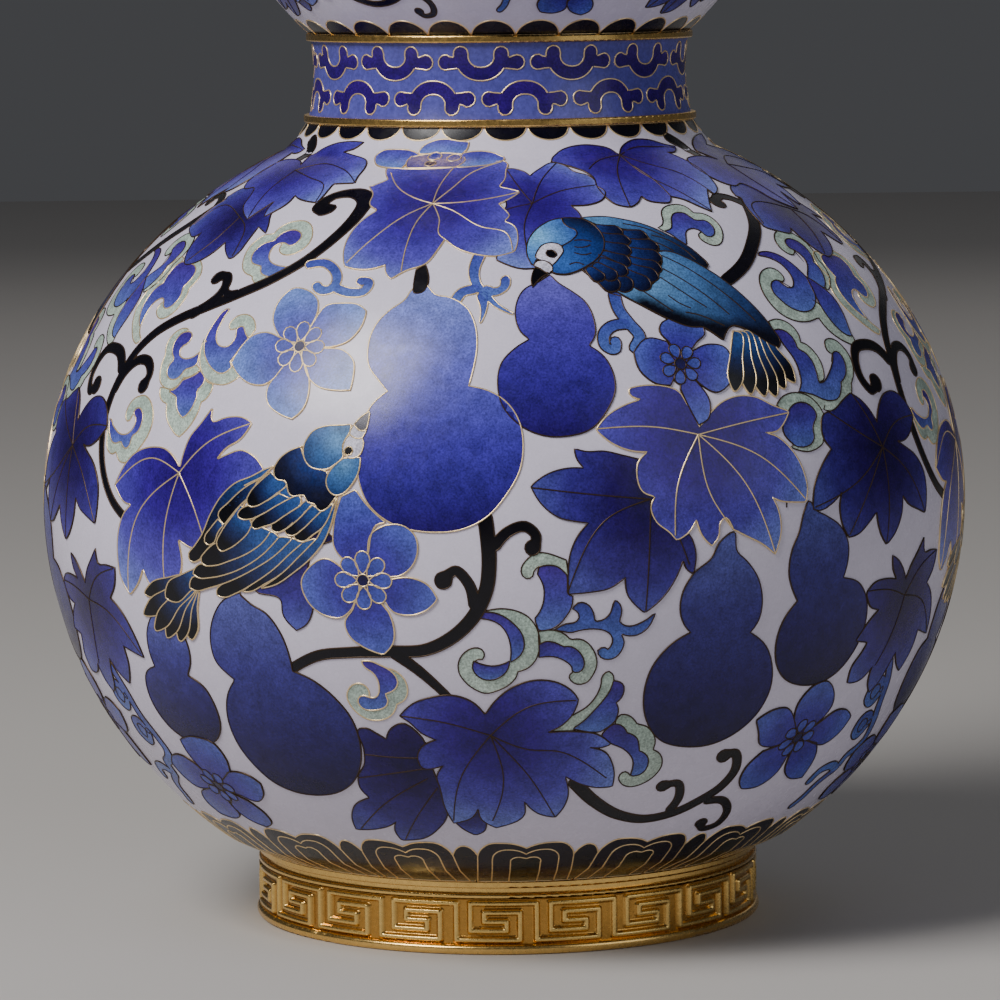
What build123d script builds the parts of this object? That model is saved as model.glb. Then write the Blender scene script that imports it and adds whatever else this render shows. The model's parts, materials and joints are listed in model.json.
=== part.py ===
"""Cloisonne double-gourd vase on a gilt fretted foot.

A copper body made of two bulbs, a waist collar and a short neck, enamelled
inside and out. Gilt rings mark the waist, the mouth and the foot, and gilt
wires fence the enamel of the four repeating borders.

Millimetres, +Z up, origin at the centre of the foot's underside.
"""
from build123d import *
import os
from math import pi, sqrt

os.makedirs("parts", exist_ok=True)

# ---- Driving dimensions -------------------------------------------------
BULB_RADIUS = 100.0          # the lower bulb at its widest, over the enamel
BULB_EQUATOR = 91.0          # height of that widest circle
BULB_RISE = 85.8             # upper half of the lower bulb is half an ellipse
BULB_DROP = 92.0             # and so is its lower half, a little deeper

TOP_RADIUS = 61.0            # the upper bulb
TOP_EQUATOR = 235.0
TOP_RISE = 60.0
TOP_DROP = 58.0

COLLAR_FOOT = 167.0          # the waist collar starts in the bulb's shoulder
FLARE_RADIUS = 43.7          # a point of the concave flare below the waist
FLARE_HEIGHT = 170.0
WAIST_RADIUS = 40.2          # the waist at its narrowest
WAIST_LOW = 174.6            # blue zone of the waist, between the two fillets
WAIST_HIGH = 190.5
FILLET_HEIGHT = 1.6          # gilt rings at both ends of the waist
FILLET_PROUD = 0.75
FILLET_CORNER = 0.35
SHOULDER_STEP = 0.7          # the waist is this much wider at its lower fillet

NECK_RADIUS = 17.6           # over the enamel
NECK_FOOT = 288.0            # where the neck leaves the upper bulb
NECK_SWEEP = 14.0            # height of the concave sweep up to the straight tube
NECK_HOLLOW = (2.6, 4.6)     # a point of that sweep: out from the tube, up from its foot
NECK_TOP = 322.0
RIM_HEIGHT = 4.5
RIM_PROUD = 2.2
RIM_CORNER = 1.4
BORE_RADIUS = 15.0           # clear mouth

ENAMEL = 1.0                 # coat thickness outside
COPPER = 1.2                 # wall of the copper body
LINING = 0.5                 # counter enamel inside
WIRE_WIDTH = 0.45
WIRE_PROUD = 0.12            # crest of a wire above the ground enamel

HEEL_RADIUS = 54.9           # the bulb turns in to this at the foot
HEEL_HEIGHT = 19.5           # below this the bulb's underside is a plain cone
HEEL_SPREAD = 1.72           # level distance for each millimetre through its wall

FOOT_RADIUS = 54.7
FOOT_HEIGHT = 15.8
FOOT_WALL = 1.8
BASE_HEIGHT = 9.0            # the base plate sits up inside the foot
FIELD_RADIUS = 53.8          # sunk ground of the fret
BEAD_HEIGHT = 2.1            # bottom bead
BEAD_PROUD = 0.5
BEAD_CORNER = 0.9
MOULDING_HEIGHT = 1.1        # the two mouldings above the fret, and the groove between
MOULDING_CORNER = 0.45
GROOVE_DEPTH = 0.2           # below the sunk ground
FRET_LOW = 3.05              # centre line of the lowest fret ridge
FRET_ROW = 1.95              # step from one ridge up to the next
FRET_COLUMNS = (-7.2, -4.2, -1.3, 3.4, 6.2)   # centre lines of one unit's upright ridges
FRET_TURN = -4.0             # degrees from the front to the middle of the first unit
FRET_WIDTH = 1.05

SCALLOPS_BELOW = 29          # black domes hanging under the lower fillet
SCALLOPS_ABOVE = 28          # black domes standing on the upper fillet
SCALLOP_BELOW = (4.35, 3.1)   # half width and height of a dome
SCALLOP_ABOVE = (4.55, 3.6)
SCALLOP_TURN_BELOW = 1.5     # degrees from the front to the first dome
SCALLOP_TURN_ABOVE = -1.7
CLOUDS = 13                  # clouds in each of the two rows at the waist
CLOUD_LOW = 178.0            # heights of the two rows
CLOUD_HIGH = 187.2
CLOUD_TURN_LOW = 7.5         # degrees from the front to the first cloud of a row
CLOUD_TURN_HIGH = -5.5
CLOUD_ARCH = 5.4             # outer radius of a cloud's arch
CLOUD_OPENING = 3.1          # and its inner radius
CLOUD_LEG = 1.45             # radius of the rounded legs
CLOUD_LEG_X = 4.25
CLOUD_LEG_Y = -1.05
CLOUD_EAR = 1.55             # radius of the rounded ears
CLOUD_EAR_X = 7.55
CLOUD_EAR_Y = 0.75
LAPPETS = 17                 # double-lobed leaves round the foot
LAPPET_TURN = 3.2            # degrees from the front to the first lappet
LAPPET_LINES = (             # name, half width, height of the lobes, depth of the notch
    ("outer", 9.3, 26.7, 0.5),
    ("middle", 6.4, 25.0, 0.7),
)
HEART_FOOT = 18.6            # the innermost line of a lappet is a plain dome
HEART_HALF = 3.0
HEART_RISE = 4.2
FRETS = 20                   # meander units round the foot

COPPER_IN = ENAMEL + COPPER
LINING_IN = COPPER_IN + LINING
TOP_START = WAIST_HIGH + FILLET_HEIGHT
FRET_TOP = FRET_LOW + 4 * FRET_ROW + FRET_WIDTH
LOWER_LOW = (BULB_EQUATOR, BULB_RADIUS, BULB_DROP)      # equator, radius, half height
LOWER_HIGH = (BULB_EQUATOR, BULB_RADIUS, BULB_RISE)
UPPER_LOW = (TOP_EQUATOR, TOP_RADIUS, TOP_DROP)
UPPER_HIGH = (TOP_EQUATOR, TOP_RADIUS, TOP_RISE)
FULL_TURN = 360.0
HALF_TURN = 180.0
SKETCH_START = 30.0          # borders are pushed outwards from this far off the axis


# ---- Round shells -------------------------------------------------------
def spin(section):
    """Turn a section drawn as (radius, height) round the vase's axis."""
    return revolve(Plane.XZ * section, Axis.Z)


def band(radius, height):
    """A section slab from the axis outwards between two heights."""
    low, high = height
    return Pos(radius / 2, (low + high) / 2) * Rectangle(radius, high - low)


def egg_shell(bulb, depth, height):
    """Half an egg's wall between two depths below the enamel surface."""
    equator, radius, half = bulb
    outer, inner = depth
    skin = Pos(0, equator) * Ellipse(radius - outer, half - outer)
    hollow = Pos(0, equator) * Ellipse(radius - inner, half - inner)
    return spin((skin - hollow) & band(radius + WIRE_PROUD, height))


def heeled_shell(depth):
    """The lower bulb's bottom half, which ends in a short cone above the foot."""
    outer, inner = depth
    foot_outer, foot_inner = HEEL_RADIUS - HEEL_SPREAD * outer, HEEL_RADIUS - HEEL_SPREAD * inner
    top_outer = egg_radius(LOWER_LOW, HEEL_HEIGHT, outer)
    top_inner = egg_radius(LOWER_LOW, HEEL_HEIGHT, inner)
    corners = [(foot_outer, FOOT_HEIGHT), (top_outer, HEEL_HEIGHT),
               (top_inner, HEEL_HEIGHT), (foot_inner, FOOT_HEIGHT)]
    cone = spin(make_face(Polyline(*corners, close=True)))
    return egg_shell(LOWER_LOW, depth, (HEEL_HEIGHT, BULB_EQUATOR)) + cone


def egg_radius(bulb, height, depth=0.0):
    """Radius of an egg's surface at a height."""
    equator, radius, half = bulb
    share = (height - equator) / (half - depth)
    return (radius - depth) * sqrt(1 - share**2)


def ring_section(inner, outer, height):
    """The rectangle that a ring is turned from."""
    low, high = height
    return Pos((inner + outer) / 2, (low + high) / 2) * Rectangle(outer - inner, high - low)


def ring(inner, outer, height):
    """A plain ring with a square section."""
    return spin(ring_section(inner, outer, height))


def bead(inner, outer, height, corner):
    """A ring whose two outer edges are rounded."""
    section = ring_section(inner, outer, height)
    outer_corners = section.vertices().sort_by(Axis.X)[-2:]
    return spin(fillet(outer_corners, corner))


# ---- Waist collar and neck ----------------------------------------------
def waist_outline(depth):
    """The waist's curve at a depth below the enamel, bottom to top."""
    foot = egg_radius(LOWER_HIGH, COLLAR_FOOT)
    edge = egg_radius(UPPER_LOW, TOP_START)
    middle = (WAIST_LOW + WAIST_HIGH) / 2
    shoulder = WAIST_LOW - FILLET_HEIGHT
    flare = ThreePointArc(
        (foot - depth, COLLAR_FOOT),
        (FLARE_RADIUS - depth, FLARE_HEIGHT),
        (edge + SHOULDER_STEP - depth, shoulder),
    )
    hollow = ThreePointArc(flare @ 1, (WAIST_RADIUS - depth, middle), (edge - depth, TOP_START))
    return flare + hollow


def waist_shell(outer, inner, height):
    """The waist's wall between two depths and two heights."""
    skin = waist_outline(outer)
    face = make_face(skin + Polyline(skin @ 1, (0, TOP_START), (0, COLLAR_FOOT), skin @ 0))
    inside = waist_outline(inner)
    core = make_face(inside + Polyline(inside @ 1, (0, TOP_START), (0, COLLAR_FOOT), inside @ 0))
    return spin((face - core) & band(BULB_RADIUS, height))


def neck_outline(depth):
    """The neck's curve: a concave sweep out of the bulb, then almost straight."""
    start = egg_radius(UPPER_HIGH, NECK_FOOT)
    sweep = ThreePointArc(
        (start - depth, NECK_FOOT),
        (NECK_RADIUS + NECK_HOLLOW[0] - depth, NECK_FOOT + NECK_HOLLOW[1]),
        (NECK_RADIUS - depth, NECK_FOOT + NECK_SWEEP),
    )
    return sweep + Line(sweep @ 1, (NECK_RADIUS - depth, NECK_TOP))


def neck_shell(outer, inner, low=NECK_FOOT):
    """The neck's wall between two depths, above a height."""
    skin = neck_outline(outer)
    face = make_face(skin + Polyline(skin @ 1, (0, NECK_TOP), (0, NECK_FOOT), skin @ 0))
    inside = neck_outline(inner)
    core = make_face(inside + Polyline(inside @ 1, (0, NECK_TOP), (0, NECK_FOOT), inside @ 0))
    return spin((face - core) & band(BULB_RADIUS, (low, NECK_TOP)))


# ---- Border wires -------------------------------------------------------
def stamp(sketch, layer):
    """Push a front-view sketch into the vase and keep what lies in a layer."""
    front = Plane.XZ.offset(SKETCH_START) * sketch
    return extrude(front, amount=BULB_RADIUS) & layer


def repeat(unit, count, first=0.0):
    """Copies of one unit evenly round the axis."""
    step = FULL_TURN / count
    return Compound([Rot(0, 0, first + index * step) * solid
                     for index in range(count) for solid in unit.solids()])


def dome(half_width, height):
    """The band of one half-oval wire, flat side at y = 0 and dome upwards."""
    outside = Ellipse(half_width, height)
    inside = Ellipse(half_width - WIRE_WIDTH, height - WIRE_WIDTH)
    above = Pos(0, height) * Rectangle(4 * half_width, 2 * height)
    return (outside - inside) & above


def cloud():
    """The wire round one waist cloud: an arch with a leg and an ear each side."""
    above = Pos(0, 2 * CLOUD_ARCH) * Rectangle(4 * CLOUD_ARCH, 4 * CLOUD_ARCH)
    arch = Pos(0, CLOUD_LEG_Y) * ((Circle(CLOUD_ARCH) - Circle(CLOUD_OPENING)) & above)
    body = arch
    for side in (-1, 1):
        body += Pos(side * CLOUD_LEG_X, CLOUD_LEG_Y) * Circle(CLOUD_LEG)
        body += Pos(side * CLOUD_EAR_X, CLOUD_EAR_Y) * Circle(CLOUD_EAR)
        body += Pos(side * (CLOUD_EAR_X + CLOUD_OPENING) / 2, CLOUD_EAR_Y) * Rectangle(
            CLOUD_EAR_X - CLOUD_OPENING - CLOUD_LEG / 2, 2 * CLOUD_EAR - WIRE_WIDTH)
    return body - offset(body, -WIRE_WIDTH)


def lappet(half_width, top, notch):
    """The wire round one double-lobed lappet, open where it meets the foot."""
    lobe = half_width / 2
    low = FOOT_HEIGHT - lobe
    body = Pos(0, (low + top - lobe) / 2) * Rectangle(2 * half_width, top - lobe - low)
    body += Pos(0, top - lobe / 2 - notch) * Rectangle(lobe, lobe)
    for side in (-1, 1):
        body += Pos(side * lobe, top - lobe) * Circle(lobe)
    above_foot = Pos(0, FOOT_HEIGHT + top / 2) * Rectangle(4 * half_width, top)
    return (body - offset(body, -WIRE_WIDTH)) & above_foot


# ---- Foot ---------------------------------------------------------------
def meander():
    """One fret unit: a ridge that winds in to the middle and out again."""
    column = FRET_COLUMNS
    row = [FRET_LOW + step * FRET_ROW for step in range(5)]
    next_unit = column[0] + FULL_TURN / FRETS * pi / HALF_TURN * FIELD_RADIUS
    path = [
        (column[0], row[4]), (column[0], row[0]), (column[4], row[0]), (column[4], row[3]),
        (column[2], row[3]), (column[2], row[2]), (column[3], row[2]), (column[3], row[1]),
        (column[1], row[1]), (column[1], row[4]), (next_unit - FRET_WIDTH, row[4]),
    ]
    ridge = Sketch()
    for start, end in zip(path, path[1:]):
        length = abs(end[0] - start[0]) + FRET_WIDTH
        height = abs(end[1] - start[1]) + FRET_WIDTH
        middle = Pos((start[0] + end[0]) / 2, (start[1] + end[1]) / 2)
        ridge += middle * Rectangle(length, height)
    return ridge


def fret_band():
    """The foot's sunk ground with the raised meander on it."""
    low = BEAD_HEIGHT
    high = FRET_TOP
    ground = ring(FIELD_RADIUS - FOOT_WALL / 2, FIELD_RADIUS, (low, high))
    layer = ring(FIELD_RADIUS, FOOT_RADIUS, (low, high))
    ridges = repeat(stamp(meander(), layer), FRETS, FRET_TURN)
    return Compound(ground.solids() + ridges.solids())


def write(name, shape):
    """Save one sub-part under its node's name."""
    export_step(shape, f"parts/{name}.step")
    print(f"{name:24s} {len(shape.solids()):4d} solids  {shape.volume / 1000:9.2f} cm3")


# ---- The pieces ---------------------------------------------------------
def copper_body():
    """The raised copper shells that carry the enamel."""
    depth = (ENAMEL, COPPER_IN)
    write("lower_bulb_bottom_half", heeled_shell(depth))
    write("lower_bulb_top_half", egg_shell(LOWER_HIGH, depth, (BULB_EQUATOR, COLLAR_FOOT)))
    write("waist_collar", waist_shell(*depth, (COLLAR_FOOT, TOP_START)))
    write("upper_bulb_bottom_half", egg_shell(UPPER_LOW, depth, (TOP_START, TOP_EQUATOR)))
    write("upper_bulb_top_half", egg_shell(UPPER_HIGH, depth, (TOP_EQUATOR, NECK_FOOT)))
    write("neck_tube", neck_shell(*depth))


def enamel_coats():
    """The ground enamel outside and the counter enamel inside."""
    coat = (0, ENAMEL)
    lining = (COPPER_IN, LINING_IN)
    collar_top = WAIST_LOW - FILLET_HEIGHT
    write("enamel_lower_bulb_bottom", heeled_shell(coat))
    write("enamel_lower_bulb_top", egg_shell(LOWER_HIGH, coat, (BULB_EQUATOR, COLLAR_FOOT)))
    write("enamel_shoulder", waist_shell(*coat, (COLLAR_FOOT, collar_top)))
    write("enamel_waist", waist_shell(*coat, (WAIST_LOW, WAIST_HIGH)))
    write("enamel_upper_bulb_bottom", egg_shell(UPPER_LOW, coat, (TOP_START, TOP_EQUATOR)))
    write("enamel_upper_bulb_top", egg_shell(UPPER_HIGH, coat, (TOP_EQUATOR, NECK_FOOT)))
    write("enamel_neck", neck_shell(*coat))
    write("lining_lower_bulb_bottom", heeled_shell(lining))
    write("lining_lower_bulb_top", egg_shell(LOWER_HIGH, lining, (BULB_EQUATOR, COLLAR_FOOT)))
    write("lining_waist", waist_shell(*lining, (COLLAR_FOOT, TOP_START)))
    write("lining_upper_bulb_bottom", egg_shell(UPPER_LOW, lining, (TOP_START, TOP_EQUATOR)))
    write("lining_upper_bulb_top", egg_shell(UPPER_HIGH, lining, (TOP_EQUATOR, NECK_FOOT)))


def gilt_rings():
    """The two fillets at the waist and the rim round the mouth."""
    edge = egg_radius(UPPER_LOW, TOP_START)
    lower = (WAIST_LOW - FILLET_HEIGHT, WAIST_LOW)
    upper = (WAIST_HIGH, TOP_START)
    for name, wall, height in (("lower", edge + SHOULDER_STEP, lower), ("upper", edge, upper)):
        fillet_ring = bead(wall - ENAMEL, wall + FILLET_PROUD, height, FILLET_CORNER)
        write(f"waist_fillet_{name}", fillet_ring)
    rim_outer = NECK_RADIUS + RIM_PROUD
    write("mouth_rim", bead(
        BORE_RADIUS, rim_outer, (NECK_TOP, NECK_TOP + RIM_HEIGHT), RIM_CORNER))


def foot():
    """The gilt foot ring, its mouldings and fret, and the plate inside it."""
    groove_low = FRET_TOP + MOULDING_HEIGHT
    groove_high = groove_low + MOULDING_HEIGHT
    wall_inner = FIELD_RADIUS - FOOT_WALL
    wall_outer = FIELD_RADIUS - FOOT_WALL / 2
    write("foot_wall", ring(wall_inner, wall_outer, (0, FOOT_HEIGHT)))
    write("foot_bottom_bead", bead(
        wall_outer, FOOT_RADIUS + BEAD_PROUD, (0, BEAD_HEIGHT), BEAD_CORNER))
    write("foot_fret_band", fret_band())
    write("foot_lower_moulding", bead(
        wall_outer, FOOT_RADIUS, (FRET_TOP, groove_low), MOULDING_CORNER))
    write("foot_groove", ring(
        wall_outer, FIELD_RADIUS - GROOVE_DEPTH, (groove_low, groove_high)))
    write("foot_upper_moulding", bead(
        wall_outer, FOOT_RADIUS, (groove_high, FOOT_HEIGHT), MOULDING_CORNER))
    write("base_plate", Pos(0, 0, BASE_HEIGHT) * Cylinder(wall_inner, COPPER))
    under = BASE_HEIGHT - COPPER / 2 - ENAMEL / 2
    write("base_enamel", Pos(0, 0, under) * Cylinder(wall_inner, ENAMEL))


def border_wires():
    """The gilt wires of the repeating borders."""
    upper_layer = egg_shell(UPPER_LOW, (-WIRE_PROUD, 0), (TOP_START, TOP_EQUATOR))
    foot_layer = heeled_shell((-WIRE_PROUD, 0))
    waist_layer = waist_shell(-WIRE_PROUD, 0, (WAIST_LOW, WAIST_HIGH))
    shoulder_layer = waist_shell(-WIRE_PROUD, 0, (COLLAR_FOOT, WAIST_LOW - FILLET_HEIGHT))

    hanging = Pos(0, WAIST_LOW - FILLET_HEIGHT) * Rot(0, 0, HALF_TURN) * dome(*SCALLOP_BELOW)
    write("scallop_wires_lower", repeat(stamp(hanging, shoulder_layer), SCALLOPS_BELOW, SCALLOP_TURN_BELOW))
    standing = Pos(0, TOP_START) * dome(*SCALLOP_ABOVE)
    write("scallop_wires_upper", repeat(stamp(standing, upper_layer), SCALLOPS_ABOVE, SCALLOP_TURN_ABOVE))

    upright = stamp(Pos(0, CLOUD_LOW) * cloud(), waist_layer)
    write("cloud_wires_lower", repeat(upright, CLOUDS, CLOUD_TURN_LOW))
    turned = stamp(Pos(0, CLOUD_HIGH) * Rot(0, 0, HALF_TURN) * cloud(), waist_layer)
    write("cloud_wires_upper", repeat(turned, CLOUDS, CLOUD_TURN_HIGH))

    for name, half_width, top, notch in LAPPET_LINES:
        leaf = stamp(lappet(half_width, top, notch), foot_layer)
        write(f"lappet_wires_{name}", repeat(leaf, LAPPETS, LAPPET_TURN))
    heart = stamp(Pos(0, HEART_FOOT) * dome(HEART_HALF, HEART_RISE), foot_layer)
    write("lappet_wires_inner", repeat(heart, LAPPETS, LAPPET_TURN))


copper_body()
enamel_coats()
gilt_rings()
foot()
border_wires()
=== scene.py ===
import json
from math import pi, radians

import bpy
import numpy as np
from mathutils import Matrix, Vector
from mathutils.geometry import delaunay_2d_cdt


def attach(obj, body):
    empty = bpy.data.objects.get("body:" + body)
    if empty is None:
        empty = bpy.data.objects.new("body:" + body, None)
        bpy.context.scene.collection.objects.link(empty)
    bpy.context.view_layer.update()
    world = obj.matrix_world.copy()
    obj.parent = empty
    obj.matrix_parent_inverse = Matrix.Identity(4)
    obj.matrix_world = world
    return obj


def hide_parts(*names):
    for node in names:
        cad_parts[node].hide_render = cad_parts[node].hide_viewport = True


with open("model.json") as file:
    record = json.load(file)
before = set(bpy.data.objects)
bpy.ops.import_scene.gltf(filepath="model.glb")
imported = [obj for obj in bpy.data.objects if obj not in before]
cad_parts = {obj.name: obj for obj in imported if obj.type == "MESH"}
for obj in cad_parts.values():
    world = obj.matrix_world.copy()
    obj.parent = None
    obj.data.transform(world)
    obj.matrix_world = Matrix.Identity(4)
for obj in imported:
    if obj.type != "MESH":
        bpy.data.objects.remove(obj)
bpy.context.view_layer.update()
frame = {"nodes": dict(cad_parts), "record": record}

# The vase's outside, in millimetres. It repeats the driving dimensions of the CAD model.
BULB_RADIUS, BULB_EQUATOR, BULB_RISE, BULB_DROP = 100.0, 91.0, 85.8, 92.0
TOP_RADIUS, TOP_EQUATOR, TOP_RISE, TOP_DROP = 61.0, 235.0, 60.0, 58.0
HEEL_RADIUS, HEEL_HEIGHT, FOOT_HEIGHT = 54.9, 19.5, 15.8
COLLAR_FOOT, SHOULDER_TOP, TOP_START = 167.0, 173.0, 192.1
FLARE = (43.7, 170.0)
WAIST = (40.2, 182.55)
SHOULDER_STEP = 0.7
NECK_FOOT, NECK_TOP, NECK_RADIUS, NECK_SWEEP = 288.0, 322.0, 17.6, 302.0
NECK_HOLLOW = (20.2, 292.6)
FIELD_RADIUS, FRET_PROUD = 53.8, 0.9
FRET_FOOT, FRET_TOP = 2.1, 11.9
FRET_COLUMNS = (-7.2, -4.2, -1.3, 3.4, 6.2)
FRET_LOW, FRET_ROW, FRETS, FRET_TURN = 3.05, 1.95, 20, -4.0
FRET_EDGE, FRET_SLOPE = 0.72, 0.36      # where the rounded bar meets the ground, and over how much
LIP_WIDTH, LIP_SLOPE = 0.25, 0.2        # the band's plain upper lip

# How the enamel picture is laid on.
PERIOD = 120.0          # the picture comes three times round each bulb
LAYER = 0.035           # each layer of cells lies this much higher, in millimetres
WIRE_WIDTH = 0.30
WIRE_PROUD = 0.10
CELL_STEP = 2.0         # spacing of the mesh inside a cell
FINE_STEP = 1.0         # the birds need a finer one
EDGE_STEP = 0.8         # and along its outline
CELL_LIFT = 0.02        # keeps the lowest cell clear of the ground coat
STROKE_LIFT = 0.02      # each brush line of a group is this many layers above the last
BORDER_GAP = 0.02       # between a border and the gilt ring that it touches
PROBE_STEP = 0.2        # how closely a wire is looked at for what covers it
WIRE_KEEP = 4           # one in this many of those points shapes the wire
UPPER_SCALE = 0.6       # the upper bulb carries the same picture, smaller
UPPER_TURN = 66.0

# The studio, in metres. The camera looks slightly down, a little to one side and tilted.
SENSOR_WIDTH, LENS = 36, 185.78             # millimetres
CAMERA_PLACE = (0, -1.12085, 0.21475)
CAMERA_PAN = 0.00078                        # radians
CAMERA_DIP, CAMERA_ROLL = 6.349, -0.595     # degrees
AIM = (0, 0, 0.12)                          # what the lamps point at
FLOOR_REACH = 3.0                           # from the vase to the floor's edges
FLOOR_COLOUR, FLOOR_ROUGHNESS = (0.52, 0.50, 0.48, 1), 0.7
SKY_COLOUR, SKY_STRENGTH = (0.82, 0.84, 0.90, 1), 0.07
LAMPS = (                                   # name, place, width, watts, colour
    ("key", (-0.77, -0.72, 1.12), 0.65, 24, (1.0, 0.98, 0.96)),
    ("fill", (1.1, -0.9, 0.7), 1.0, 3.5, (0.92, 0.95, 1.0)),
    ("back", (0.2, 1.5, 1.2), 1.6, 2.5, (1.0, 0.97, 0.94)),
)


# ---- Surfaces ---------------------------------------------------------------
def half_egg(equator, radius, rise, low, high, count=120):
    """Points of an egg's outline between two heights, evenly spaced in angle."""
    ends = np.arcsin((np.array([low, high]) - equator) / rise)
    angle = np.linspace(ends[0], ends[1], count)
    return np.stack([radius * np.cos(angle), equator + rise * np.sin(angle)], 1)


def arc(start, middle, end, count=30):
    """Points of the circle through three points."""
    a, b, c = (complex(*p) for p in (start, middle, end))
    ratio = (c - a) / (b - a)
    centre = (b - a) * (ratio - abs(ratio) ** 2) / 2j / ratio.imag + a
    sweep = np.unwrap(np.angle(np.array([a - centre, b - centre, c - centre])))
    angle = np.linspace(sweep[0], sweep[2], count)
    return np.stack([centre.real + abs(a - centre) * np.cos(angle),
                     centre.imag + abs(a - centre) * np.sin(angle)], 1)


class Chart:
    """A turned surface addressed by degrees round it and millimetres along its outline."""

    def __init__(self, outline, zero):
        keep = np.concatenate([[True], np.hypot(*np.diff(outline, axis=0).T) > 1e-6])
        outline = outline[keep]
        run = np.concatenate([[0], np.cumsum(np.hypot(*np.diff(outline, axis=0).T))])
        self.s = run - np.interp(zero, outline[:, 1], run)
        self.r, self.z = outline.T
        slope = np.gradient(outline, self.s, axis=0)
        slope /= np.hypot(*slope.T)[:, None]
        self.out, self.up = slope[:, 1], -slope[:, 0]

    def at(self, height):
        """Where on the outline a height is."""
        return np.interp(height, self.z, self.s)

    def radius(self, s):
        return np.interp(s, self.s, self.r)

    def point(self, theta, s, lift=0.0):
        r = self.radius(s) + lift * np.interp(s, self.s, self.out)
        z = np.interp(s, self.s, self.z) + lift * np.interp(s, self.s, self.up)
        angle = np.radians(theta)
        return np.stack([r * np.sin(angle), -r * np.cos(angle), z], -1)

    def normal(self, theta, s):
        out = np.interp(s, self.s, self.out)
        angle = np.radians(theta)
        return np.stack([out * np.sin(angle), -out * np.cos(angle), np.interp(s, self.s, self.up)], -1)


def outside_charts():
    """The charts of the lower bulb, the waist and the upper bulb with its neck."""
    low = half_egg(BULB_EQUATOR, BULB_RADIUS, BULB_DROP, HEEL_HEIGHT, BULB_EQUATOR)
    high = half_egg(BULB_EQUATOR, BULB_RADIUS, BULB_RISE, BULB_EQUATOR, COLLAR_FOOT)
    top_low = half_egg(TOP_EQUATOR, TOP_RADIUS, TOP_DROP, TOP_START, TOP_EQUATOR)
    top_high = half_egg(TOP_EQUATOR, TOP_RADIUS, TOP_RISE, TOP_EQUATOR, NECK_FOOT)
    shoulder_top = (top_low[0][0] + SHOULDER_STEP, SHOULDER_TOP)
    shoulder = arc(high[-1], FLARE, shoulder_top)
    waist = arc(shoulder_top, WAIST, top_low[0])
    neck = arc(top_high[-1], NECK_HOLLOW, (NECK_RADIUS, NECK_SWEEP))
    lower = np.concatenate([[(HEEL_RADIUS, FOOT_HEIGHT)], low, high, shoulder])
    upper = np.concatenate([top_low, top_high, neck, [(NECK_RADIUS, NECK_TOP)]])
    return Chart(lower, BULB_EQUATOR), Chart(waist, WAIST[1]), Chart(upper, TOP_EQUATOR)


LOWER, MIDDLE, UPPER = outside_charts()


# ---- Outlines ---------------------------------------------------------------
# The picture is drawn flat, in millimetres: x from a meridian and s from the bulb's widest
# line, as "x,s x,s* ...", where * marks a sharp corner. Cells with a higher layer cover lower
# ones and the wires beneath them.
def points(text):
    """'x,s x,s* ...' as an array of points and a list of which are sharp corners."""
    words = text.split()
    places = np.array([[float(v) for v in word.strip("*").split(",")] for word in words])
    return places, [word.endswith("*") for word in words]


def smooth(places, step=EDGE_STEP):
    """An even curve through a run of points."""
    if len(places) < 2:
        return places
    chord = np.maximum(np.hypot(*np.diff(places, axis=0).T), 1e-6)
    slope = np.diff(places, axis=0) / chord[:, None]
    tangent = np.empty_like(places)
    tangent[0], tangent[-1] = slope[0], slope[-1]
    before, after = chord[:-1, None], chord[1:, None]
    tangent[1:-1] = (slope[:-1] * after + slope[1:] * before) / (before + after)
    if len(places) > 2:
        tangent[0] = 1.5 * slope[0] - 0.5 * tangent[1]
        tangent[-1] = 1.5 * slope[-1] - 0.5 * tangent[-2]
    line = []
    for i, length in enumerate(chord):
        t = np.linspace(0, 1, max(2, int(round(length / step)) + 1))[:-1, None]
        line.append((2 * t**3 - 3 * t**2 + 1) * places[i] + (t**3 - 2 * t**2 + t) * length * tangent[i]
                    + (3 * t**2 - 2 * t**3) * places[i + 1] + (t**3 - t**2) * length * tangent[i + 1])
    return np.concatenate(line + [places[-1:]])


def closed(text, step=EDGE_STEP):
    """A closed outline, smooth except at its corners, without its last point."""
    places, corner = points(text)
    starts = [i for i, sharp in enumerate(corner) if sharp]
    if not starts:
        wrap = np.concatenate([places[-2:], places, places[:3]])
        line = smooth(wrap, step)
        first = np.argmin(np.hypot(*(line - places[0]).T))
        last = len(line) - 1 - np.argmin(np.hypot(*(line[::-1] - places[0]).T))
        return line[first:last]
    loop = []
    count = len(places)
    for n, start in enumerate(starts):
        end = starts[(n + 1) % len(starts)]
        span = (end - start) % count or count
        loop.append(smooth(places[[(start + k) % count for k in range(span + 1)]], step)[:-1])
    return np.concatenate(loop)


def stroke(text, width, end_width=None, ball=0.0, start_ball=0.0):
    """The outline of a brush line that may taper or end in balls."""
    line = smooth(points(text)[0], 0.5) if isinstance(text, str) else text
    run = np.concatenate([[0], np.cumsum(np.hypot(*np.diff(line, axis=0).T))])
    end_width = width if end_width is None else end_width
    half = np.interp(run, [0, run[-1]], [width / 2, end_width / 2])
    for radius, away in ((ball, run[-1] - run), (start_ball, run)):
        half = np.maximum(half, np.sqrt(np.maximum(radius**2 - away**2, 0)))
    along = np.gradient(line, axis=0)
    along /= np.hypot(*along.T)[:, None]
    side = np.stack([-along[:, 1], along[:, 0]], 1)
    left, right = line + side * half[:, None], line - side * half[:, None]
    turn = np.radians(np.linspace(-60, 60, 5))[:, None]
    tip = line[-1] + half[-1] * (np.cos(turn) * along[-1] + np.sin(turn) * side[-1])
    tail = line[0] - half[0] * (np.cos(turn) * along[0] + np.sin(turn) * side[0])
    return np.concatenate([right, tip, left[::-1], tail])


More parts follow.
